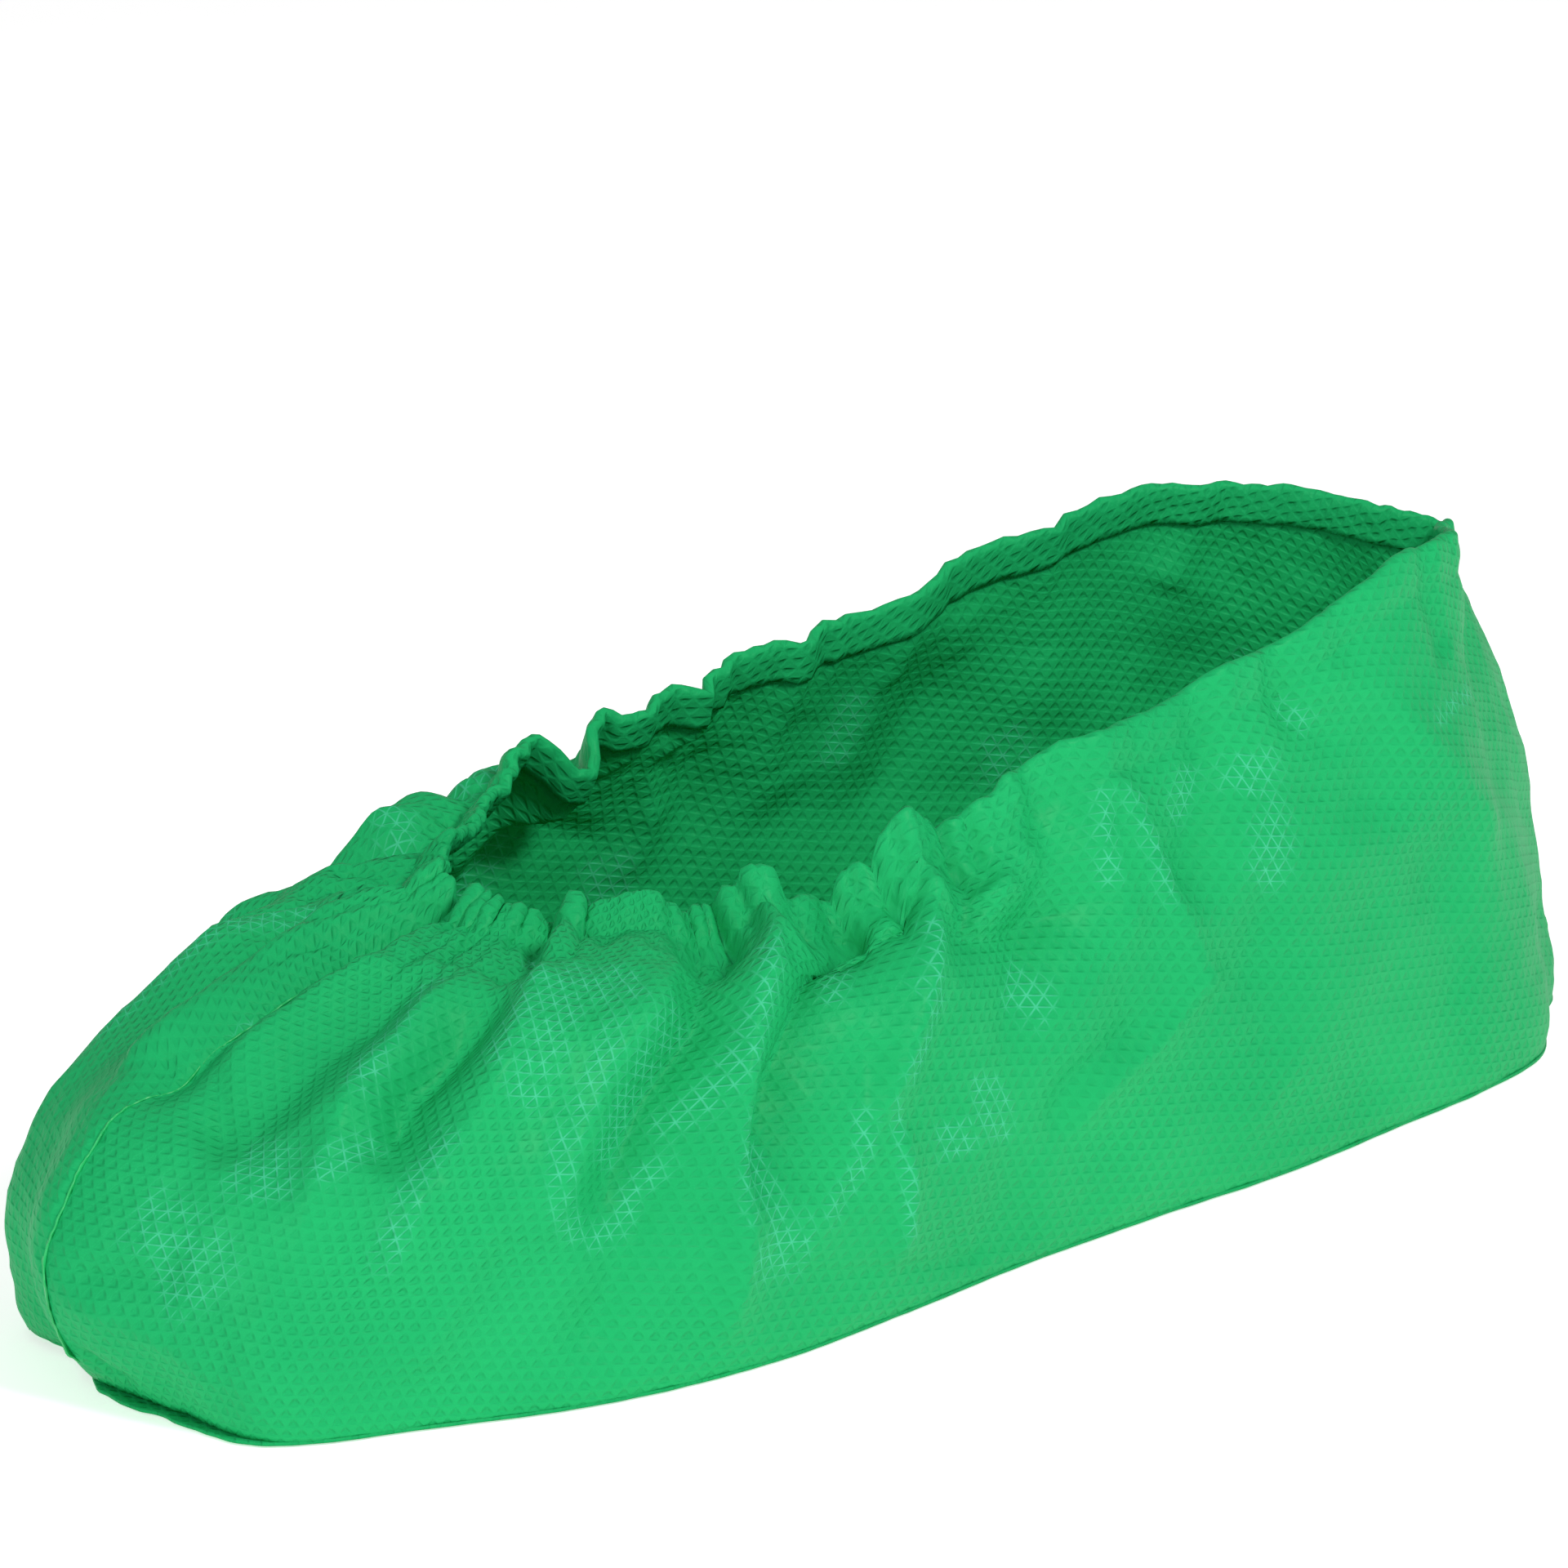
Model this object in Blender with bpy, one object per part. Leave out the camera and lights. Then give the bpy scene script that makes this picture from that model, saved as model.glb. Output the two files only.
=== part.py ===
"""Disposable overshoe of embossed plastic film, standing open and empty.

A bag of thin film: an upper with a welded seam up the toe and another up the heel, closed
underneath by a sole panel, with a folded hem round the collar that holds a rubber band.
The upper is a hollow shell, open at the collar.

Metres. +X heel to toe, +Y the wearer's left, +Z up. The sole's lower face is on Z = 0 and
the origin is under the middle of the overshoe.
"""
import math

import bmesh
import bpy
import numpy as np

SOLE_LENGTH = 0.336        # heel corner to toe edge of the sole panel
SOLE_WIDTH = 0.123         # at its widest, behind the toe
COLLAR_RISE = 0.101        # floor to the hem's lower fold, at its highest
FILM = 0.0005              # bulk of one layer of the embossed film
SOLE_FILM = 0.0006         # the sole panel is a little heavier
CLEAR = 0.0003             # gap between neighbouring pieces
TOE_LEDGE = 0.003          # weld edge of the sole that stands out in front of the toe
FAR_TUCK = 0.005           # how far the sole's right toe corner is drawn in under the toe
FOLD_DEPTH = 0.004         # deepest of the soft folds
FOLD_WIDTH = 0.008         # half width of a typical fold
GATHER = 0.0011            # height of the gathers next to the hem
GATHERS = 17               # number of large gathers round the collar
HEM_BAND = 0.008           # height of the folded hem
HEM_HOLLOW = 0.0019        # room between the hem's two layers
HEM_LAP = 0.002            # how far the upper's edge reaches into the hem
ELASTIC_WIDTH = 0.0026
ELASTIC_THICK = 0.0007
SEAM_STANDS = 0.0025       # width of the welded seam edges
SEAM_THICK = 0.0009        # two layers, melted together
AROUND = 128               # points round the overshoe
UP = 12                    # rows of film from the sole to the hem

# One row for each section of the upper, from the heel seam along one side to the toe seam.
# The film leaves the sole at "along, out", runs up to the hem at "hem_along, hem_out,
# hem_up" and is shaped between them by a low and a high handle, as a Bezier curve is.
#   along, hem_along     share of SOLE_LENGTH, from the heel
#   out, hem_out         share of half SOLE_WIDTH, from the middle
#   hem_up, low_*, high_*  share of COLLAR_RISE
#   turn                 degrees that the section's outward side is turned from the toe
#   lean                 how far the hem leans inwards, share of HEM_BAND
#   ledge                how far the film stands back from the sole's edge, share of TOE_LEDGE
SECTIONS = (
    # along  out   hem_along hem_out hem_up low_out low_up high_out high_up turn lean ledge
    (-0.006, 0.000, 0.092, 0.000, 0.87, -0.05, 0.30, 0.16, -0.26, 180, 0.12, 0.80),  # heel seam
    (0.037, 0.195, 0.116, 0.130, 0.89, -0.03, 0.30, 0.13, -0.26, 139, 0.12, 0.40),  # heel corner
    (0.086, 0.430, 0.143, 0.290, 0.91, -0.02, 0.30, 0.09, -0.28, 136, 0.12, 0.17),
    (0.152, 0.560, 0.179, 0.470, 0.92, 0.03, 0.30, 0.08, -0.28, 108, 0.19, 0.17),
    (0.241, 0.650, 0.238, 0.593, 0.92, 0.04, 0.30, 0.07, -0.28, 97, 0.19, 0.17),    # ankle
    (0.336, 0.740, 0.321, 0.667, 0.86, 0.05, 0.28, 0.08, -0.28, 96, 0.19, 0.17),
    (0.429, 0.780, 0.408, 0.683, 0.80, 0.05, 0.26, 0.09, -0.24, 95, 0.19, 0.17),    # arch
    (0.539, 0.846, 0.500, 0.699, 0.76, 0.05, 0.25, 0.12, -0.18, 95, 0.31, 0.17),
    (0.634, 0.935, 0.580, 0.699, 0.72, 0.05, 0.24, 0.17, -0.10, 93, 0.44, 0.17),
    (0.729, 1.000, 0.649, 0.634, 0.68, 0.04, 0.24, 0.24, -0.01, 84, 0.62, 0.17),    # ball
    (0.824, 0.959, 0.699, 0.528, 0.66, 0.03, 0.24, 0.33, 0.05, 68, 0.75, 0.17),
    (0.908, 0.813, 0.737, 0.407, 0.66, 0.02, 0.24, 0.43, 0.07, 50, 0.82, 0.27),
    (0.984, 0.650, 0.768, 0.260, 0.67, 0.09, 0.27, 0.37, 0.00, 33, 0.88, 0.67),     # toe corner
    (0.997, 0.325, 0.784, 0.130, 0.69, 0.25, 0.29, 0.40, -0.06, 15, 0.88, 1.00),
    (1.000, 0.000, 0.789, 0.000, 0.69, 0.32, 0.31, 0.48, -0.06, 0, 0.88, 1.00),     # toe seam
)
TOE_CORNER = 12            # row of the toe corner

# Soft folds of the film. Each runs from one place to another on the upper. "round" is the
# share of the way round from the heel seam by the left side (0.5 is the toe seam), "up" the
# share of the film's height. Width and depth are shares of FOLD_WIDTH and FOLD_DEPTH, and a
# trough has a negative depth.
FOLDS = (
    # round   up  round   up   width depth
    (0.500, 0.98, 0.504, 0.60, 1.0, -1.10),    # valley along the toe seam
    (0.450, 0.84, 0.465, 0.54, 1.2, -0.75),
    (0.437, 0.90, 0.440, 0.42, 0.9, 0.70),
    (0.420, 0.97, 0.424, 0.82, 0.8, -1.10),    # pocket under the hem
    (0.406, 0.80, 0.415, 0.36, 1.0, 0.75),
    (0.356, 0.90, 0.368, 0.56, 0.9, -1.00),
    (0.315, 0.97, 0.338, 0.42, 0.8, -1.00),    # longest crease of the side
    (0.294, 0.93, 0.324, 0.78, 0.7, -0.60),
    (0.283, 0.98, 0.279, 0.65, 1.0, -0.65),
    (0.550, 0.88, 0.536, 0.55, 1.2, -0.70),
    (0.572, 0.92, 0.566, 0.45, 0.9, 0.75),
    (0.600, 0.80, 0.590, 0.50, 0.9, -0.90),
    (0.615, 0.89, 0.645, 0.90, 1.0, 0.80),     # film puffed up over the right of the hem
    (0.665, 0.91, 0.695, 0.92, 0.9, 1.30),
    (0.655, 0.80, 0.640, 0.50, 0.9, -0.95),
    (0.700, 0.97, 0.688, 0.60, 0.8, -0.70),
    (0.724, 0.98, 0.722, 0.70, 1.0, -0.50),
)


def hex_rgb(text):
    """A screen colour as linear red, green and blue."""
    parts = [int(text[i:i + 2], 16) / 255 for i in (0, 2, 4)]
    return [c / 12.92 if c <= 0.04045 else ((c + 0.055) / 1.055) ** 2.4 for c in parts]


def smooth(low, high, x):
    t = np.clip((np.asarray(x, float) - low) / (high - low), 0, 1)
    return t * t * (3 - 2 * t)


def section(share):
    """The section table read smoothly at a share of the way from heel seam to toe seam."""
    rows = np.array(SECTIONS, float)
    across = np.ones(12)
    across[[1, 3]] = -1
    before, after = rows[1] * across, rows[-2] * across
    before[9], after[9] = 360 - rows[1][9], -rows[-2][9]
    rows = np.vstack([before, rows, after])
    place = np.clip(share, 0, 1) * (len(SECTIONS) - 1)
    i = np.minimum(place.astype(int), len(SECTIONS) - 2)
    f = (place - i)[..., None]
    a, b, c, d = (rows[i + k] for k in range(4))
    return 0.5 * (2 * b + (c - a) * f + (2 * a - 5 * b + 4 * c - d) * f ** 2
                  + (3 * b - a - 3 * c + d) * f ** 3)


def unit(v):
    return v / np.maximum(np.linalg.norm(v, axis=-1, keepdims=True), 1e-9)


def sides(around):
    """Share of the way from heel to toe, and +1 on the left side or -1 on the right."""
    return 1 - np.abs(1 - 2 * around), np.where(around <= 0.5, 1.0, -1.0)


def sole_edge(around):
    """Outline of the sole panel and the level outward direction there."""
    share, side = sides(around)
    row = section(share)
    at_corner = TOE_CORNER / (len(SECTIONS) - 1)
    tuck = (np.where(side < 0, 1.0, 0.0) * smooth(at_corner - 0.12, at_corner, share)
            * (1 - smooth(at_corner + 0.06, 1, share)) * FAR_TUCK)
    turn = np.radians(row[..., 9])
    out = np.stack([np.cos(turn), side * np.sin(turn)], -1)
    edge = np.stack([row[..., 0] * SOLE_LENGTH - tuck,
                     side * (row[..., 1] * SOLE_WIDTH / 2 - tuck)], -1)
    return edge, out


def film(around, up):
    """Middle of the film without its folds. Beyond up = 1 it follows the hem's band."""
    edge, out = sole_edge(around)
    share, side = sides(around)
    row = section(share)
    level = np.zeros(around.shape)
    flat = np.stack([out[..., 0], out[..., 1], level], -1)
    rise = np.stack([level, level, level + 1], -1)
    foot = np.stack([edge[..., 0], edge[..., 1], level + SOLE_FILM + CLEAR + FILM / 2], -1)
    foot -= flat * (row[..., 11] * TOE_LEDGE + FILM / 2)[..., None]
    hem = np.stack([row[..., 2] * SOLE_LENGTH, side * row[..., 3] * SOLE_WIDTH / 2,
                    row[..., 4] * COLLAR_RISE], -1)
    low = foot + (flat * row[..., 5:6] + rise * row[..., 6:7]) * COLLAR_RISE
    high = hem + (flat * row[..., 7:8] + rise * row[..., 8:9]) * COLLAR_RISE
    t = np.clip(up, 0, 1)[..., None]
    point = ((1 - t) ** 3 * foot + 3 * (1 - t) ** 2 * t * low
             + 3 * (1 - t) * t ** 2 * high + t ** 3 * hem)
    lean = row[..., 10:11]
    band = rise * np.sqrt(1 - lean ** 2) - flat * lean
    return point + band * (np.maximum(up - 1, 0)[..., None] * HEM_BAND), flat, band


def folds(around, up):
    """Height of the soft folds at a place on the film."""
    girth = 2 * SOLE_LENGTH + SOLE_WIDTH
    size = np.array([girth, COLLAR_RISE])
    height = np.zeros(around.shape)
    for from_round, from_up, to_round, to_up, width, depth in FOLDS:
        run = (np.array([to_round, to_up]) - (from_round, from_up)) * size
        off = np.stack([around - from_round, up - from_up], -1) * size
        t = np.clip(off @ run / (run @ run), 0, 1)
        far = np.linalg.norm(off - t[..., None] * run, axis=-1)
        height += depth * FOLD_DEPTH * np.exp(-(far / (width * FOLD_WIDTH)) ** 2)
    return height * (1 - smooth(0.92, 1, up))


def gathers(around, up):
    """Gathers that the rubber band draws in the film, strongest over the instep."""
    wave = (np.sin(2 * math.pi * GATHERS * around)
            + 0.6 * np.sin(2 * math.pi * (GATHERS + 9) * around + 1.3))
    share, _ = sides(around)
    return GATHER * (0.35 + 0.65 * share) * wave * smooth(0.7, 1, up) / 1.6


def skin(around, ups):
    """Grid of points on the folded film, and the outward direction at each."""
    a, u = np.meshgrid(around, ups, indexing="ij")
    point, flat, _ = film(a, u)
    for _ in range(2):
        out = unit(np.cross(np.gradient(point, axis=1),
                            np.roll(point, -1, axis=0) - np.roll(point, 1, axis=0)))
        if _ == 0:
            point = point + out * folds(a, u)[..., None] + flat * gathers(a, u)[..., None]
    return point, out


def sheet(name, grid, closed, colour, roughness, thick, side=0.0):
    """A sheet of film from a grid of points, given its thickness by Solidify."""
    rows, cols = grid.shape[:2]
    bm = bmesh.new()
    made = [[bm.verts.new(grid[i, j]) for j in range(cols)] for i in range(rows)]
    for i in range(rows if closed else rows - 1):
        for j in range(cols - 1):
            k = (i + 1) % rows
            bm.faces.new((made[i][j], made[k][j], made[k][j + 1], made[i][j + 1]))
    return solid(name, bm, colour, roughness, thick, side)


def solid(name, bm, colour, roughness, thick=0.0, side=0.0):
    mesh = bpy.data.meshes.new(name)
    bm.normal_update()
    bm.to_mesh(mesh)
    bm.free()
    obj = bpy.data.objects.new(name, mesh)
    bpy.context.scene.collection.objects.link(obj)
    if thick:
        wall = obj.modifiers.new("Thickness", "SOLIDIFY")
        wall.thickness, wall.offset, wall.use_rim = thick, side, True
    mat = bpy.data.materials.new(name)
    mat.use_nodes = True
    shader = mat.node_tree.nodes["Principled BSDF"]
    shader.inputs["Base Color"].default_value = (*hex_rgb(colour), 1)
    shader.inputs["Roughness"].default_value = roughness
    shader.inputs["Metallic"].default_value = 0.0
    mesh.materials.append(mat)
    mesh.shade_smooth()
    return obj


def make_upper():
    """One hollow shell of film, open at the collar and underneath."""
    ups = np.append(np.linspace(0, 1, UP), 1 + HEM_LAP / HEM_BAND)
    grid, _ = skin(np.arange(AROUND) / AROUND, ups)
    return sheet("upper", grid, True, "2BBE69", 0.42, FILM)


def make_sole():
    """Panel underneath, flat on the floor, cut with a squared toe and a pointed heel."""
    edge, _ = sole_edge(np.arange(AROUND) / AROUND)
    bm = bmesh.new()
    made = [bm.verts.new((x, y, 0)) for x, y in edge]
    half = AROUND // 2
    bm.faces.new((made[0], made[AROUND - 1], made[1]))
    for i in range(1, half - 1):
        bm.faces.new((made[i], made[AROUND - i], made[AROUND - i - 1], made[i + 1]))
    bm.faces.new((made[half - 1], made[half + 1], made[half]))
    return solid("sole", bm, "27B464", 0.42, SOLE_FILM, 1.0)


def hem_frame(count):
    """Foot of the hem's band, its upward direction and its outward one, all the way round."""
    around = np.arange(count) / count
    foot, flat, band = film(around, np.ones(count))
    foot = foot + flat * gathers(around, np.ones(count))[:, None]
    out = unit(np.cross(band, np.roll(foot, -1, axis=0) - np.roll(foot, 1, axis=0)))
    return foot, band, out


def make_hem():
    """The upper's edge folded down on itself: a channel, open below, round the collar."""
    foot, band, out = hem_frame(AROUND)
    leg = (HEM_HOLLOW + FILM) / 2
    start = 0.1 * HEM_BAND
    # height, distance out: up the outer layer, over the fold and down the inner layer
    profile = ((start, leg), (0.55 * HEM_BAND, leg), (HEM_BAND - leg, leg),
               (HEM_BAND - FILM / 2, 0.0), (HEM_BAND - leg, -leg), (start, -leg))
    grid = np.stack([foot + band * h + out * d for h, d in profile], axis=1)
    return sheet("hem_casing", grid, True, "2FC670", 0.40, FILM)


def make_elastic():
    """Flat rubber band that lies loose in the hem."""
    foot, band, out = hem_frame(AROUND)
    top = HEM_BAND - FILM - (HEM_HOLLOW - ELASTIC_THICK) / 2 - 2 * CLEAR
    grid = np.stack([foot + band * h for h in (top - ELASTIC_WIDTH, top)], axis=1)
    return sheet("elastic_band", grid, True, "E9E4D4", 0.62, ELASTIC_THICK)


def make_seam(name, around, low, high):
    """Welded edge of the two halves of the upper, standing on the film at toe or heel."""
    ups = np.linspace(0, 1, UP)
    grid, out = skin(around + np.arange(-1, 2) / AROUND, ups)
    keep = (ups >= low) & (ups <= high)
    line, away = grid[1][keep], out[1][keep]
    line[:, 1] = 0
    away[:, 1] = 0
    start = line + unit(away) * (FILM / 2 + 2 * CLEAR)
    strip = np.stack([start, start + unit(away) * SEAM_STANDS], axis=1)
    return sheet(name, strip, False, "2DC26C", 0.40, SEAM_THICK)


for old in list(bpy.data.objects):
    bpy.data.objects.remove(old, do_unlink=True)

pieces = [make_upper(), make_sole(), make_hem(), make_elastic(),
          make_seam("toe_seam", 0.5, 0.05, 0.93), make_seam("heel_seam", 0.0, 0.02, 0.93)]

# The origin goes under the middle of the whole overshoe.
depsgraph = bpy.context.evaluated_depsgraph_get()
corners = np.array([v.co[:] for p in pieces for v in p.evaluated_get(depsgraph).data.vertices])
middle = (corners.min(axis=0) + corners.max(axis=0)) / 2
for piece in pieces:
    for vertex in piece.data.vertices:
        vertex.co.x -= middle[0]
        vertex.co.y -= middle[1]
    piece.data.update()
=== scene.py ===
import math

import bmesh
import bpy
import numpy as np
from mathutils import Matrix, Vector


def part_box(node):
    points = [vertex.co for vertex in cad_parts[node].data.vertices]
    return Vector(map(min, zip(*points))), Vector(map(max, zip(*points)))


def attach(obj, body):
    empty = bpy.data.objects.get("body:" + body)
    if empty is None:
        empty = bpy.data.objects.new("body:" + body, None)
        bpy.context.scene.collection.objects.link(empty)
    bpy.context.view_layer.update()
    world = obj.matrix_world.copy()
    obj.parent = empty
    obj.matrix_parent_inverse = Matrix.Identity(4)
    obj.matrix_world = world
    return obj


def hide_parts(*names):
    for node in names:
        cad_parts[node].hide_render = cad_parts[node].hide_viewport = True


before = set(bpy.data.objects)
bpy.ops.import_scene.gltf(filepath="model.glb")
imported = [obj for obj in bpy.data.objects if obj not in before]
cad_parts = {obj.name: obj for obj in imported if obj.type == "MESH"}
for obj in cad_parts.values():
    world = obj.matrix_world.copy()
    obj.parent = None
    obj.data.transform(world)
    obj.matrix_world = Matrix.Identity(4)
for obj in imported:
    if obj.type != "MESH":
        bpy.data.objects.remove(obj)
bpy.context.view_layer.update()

# The upper. Two panels of thin polyethylene film, pressed all over with small triangles, are
# welded together up the toe and the heel and closed below by the sole. The bag stands open,
# creased and gathered as the band in its hem left it. Metres, in the row's frame.
FILM_GREEN = "28CA78"
FILM_DEEP_AND_PIT_SHADE = "1CB46A"       # where the film is thick, and painted shade in the pressed-in pits
FILM_PALE = "5EE0B6"       # lines of the embossing, drawn pale in the listed patches
SOLE_LENGTH = 0.336        # heel corner to toe edge of the sole panel
SOLE_WIDTH = 0.123         # at its widest, behind the toe
COLLAR_RISE = 0.101        # floor to the hem's lower fold, at its highest
FILM = 0.0005              # bulk of one layer of the embossed film
SOLE_FILM = 0.0006         # the sole panel is a little heavier
CLEAR = 0.0003             # gap between neighbouring pieces
TOE_LEDGE = 0.003          # weld edge of the sole that stands out in front of the toe
FAR_TUCK = 0.005           # how far the sole's right toe corner is drawn in under the toe
HEM_BAND = 0.008           # height of the folded hem
HEM_LAP = 0.002            # how far the upper's edge reaches into the hem
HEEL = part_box("sole")[0].x + 0.006 * SOLE_LENGTH    # where "along" is 0
MM = 0.001
EMBOSS_SIDE = 2.2 * MM     # side of one pressed triangle
EMBOSS_DEPTH = 0.25 * MM
SIDE_STRETCH = 0.46        # how much wider the triangles are drawn along the sides, as they show there

# One row for each section of the upper, from the heel seam along one side to the toe seam.
# The film leaves the sole at "along, out", runs up to the hem at "hem_along, hem_out,
# hem_up" and is shaped between them by a low and a high handle, as a Bezier curve is.
#   along, hem_along     share of SOLE_LENGTH, from the heel
#   out, hem_out         share of half SOLE_WIDTH, from the middle
#   hem_up, low_*, high_*  share of COLLAR_RISE
#   turn                 degrees that the section's outward side is turned from the toe
#   lean                 how far the hem leans inwards, share of HEM_BAND
#   ledge                how far the film stands back from the sole's edge, share of TOE_LEDGE
#   lay                  degrees between the rows of the embossing and the foot line
SECTIONS = (
    # along  out   hem_along hem_out hem_up low_out low_up high_out high_up turn lean ledge lay
    (-0.006, 0.000, 0.092, 0.000, 0.87, -0.05, 0.30, 0.16, -0.26, 180, 0.12, 0.80, -24),  # heel seam
    (0.037, 0.195, 0.116, 0.130, 0.89, -0.03, 0.30, 0.13, -0.26, 139, 0.12, 0.40, -22),
    (0.086, 0.430, 0.143, 0.290, 0.91, -0.02, 0.30, 0.09, -0.28, 136, 0.12, 0.17, -19),
    (0.152, 0.560, 0.179, 0.470, 0.92, 0.03, 0.30, 0.08, -0.28, 108, 0.19, 0.17, -17),
    (0.241, 0.650, 0.238, 0.593, 0.92, 0.04, 0.30, 0.07, -0.28, 97, 0.19, 0.17, -15),     # ankle
    (0.336, 0.740, 0.321, 0.667, 0.86, 0.05, 0.28, 0.08, -0.28, 96, 0.19, 0.17, -15),
    (0.429, 0.780, 0.408, 0.683, 0.80, 0.05, 0.26, 0.09, -0.24, 95, 0.19, 0.17, -16),     # arch
    (0.539, 0.846, 0.500, 0.699, 0.76, 0.05, 0.25, 0.12, -0.18, 95, 0.31, 0.17, -17),
    (0.634, 0.935, 0.580, 0.699, 0.72, 0.05, 0.24, 0.17, -0.10, 93, 0.44, 0.17, -17),
    (0.729, 1.000, 0.649, 0.634, 0.68, 0.04, 0.24, 0.24, -0.01, 84, 0.62, 0.17, -14),     # ball
    (0.824, 0.959, 0.699, 0.528, 0.66, 0.03, 0.24, 0.33, 0.05, 68, 0.75, 0.17, -9),
    (0.908, 0.813, 0.737, 0.407, 0.66, 0.02, 0.24, 0.43, 0.07, 50, 0.82, 0.27, -5),
    (0.984, 0.650, 0.768, 0.260, 0.67, 0.09, 0.27, 0.37, 0.00, 33, 0.88, 0.67, -3),       # toe corner
    (0.997, 0.325, 0.784, 0.130, 0.69, 0.25, 0.29, 0.40, -0.06, 15, 0.88, 1.00, -1),
    (1.000, 0.000, 0.789, 0.000, 0.69, 0.32, 0.31, 0.48, -0.06, 0, 0.88, 1.00, 0),        # toe seam
)
(ALONG, OUT, HEM_ALONG, HEM_OUT, HEM_UP, LOW_OUT, LOW_UP,
 HIGH_OUT, HIGH_UP, TURN, LEAN, LEDGE, LAY) = range(13)
TOE_CORNER = 12            # row of the toe corner

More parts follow.
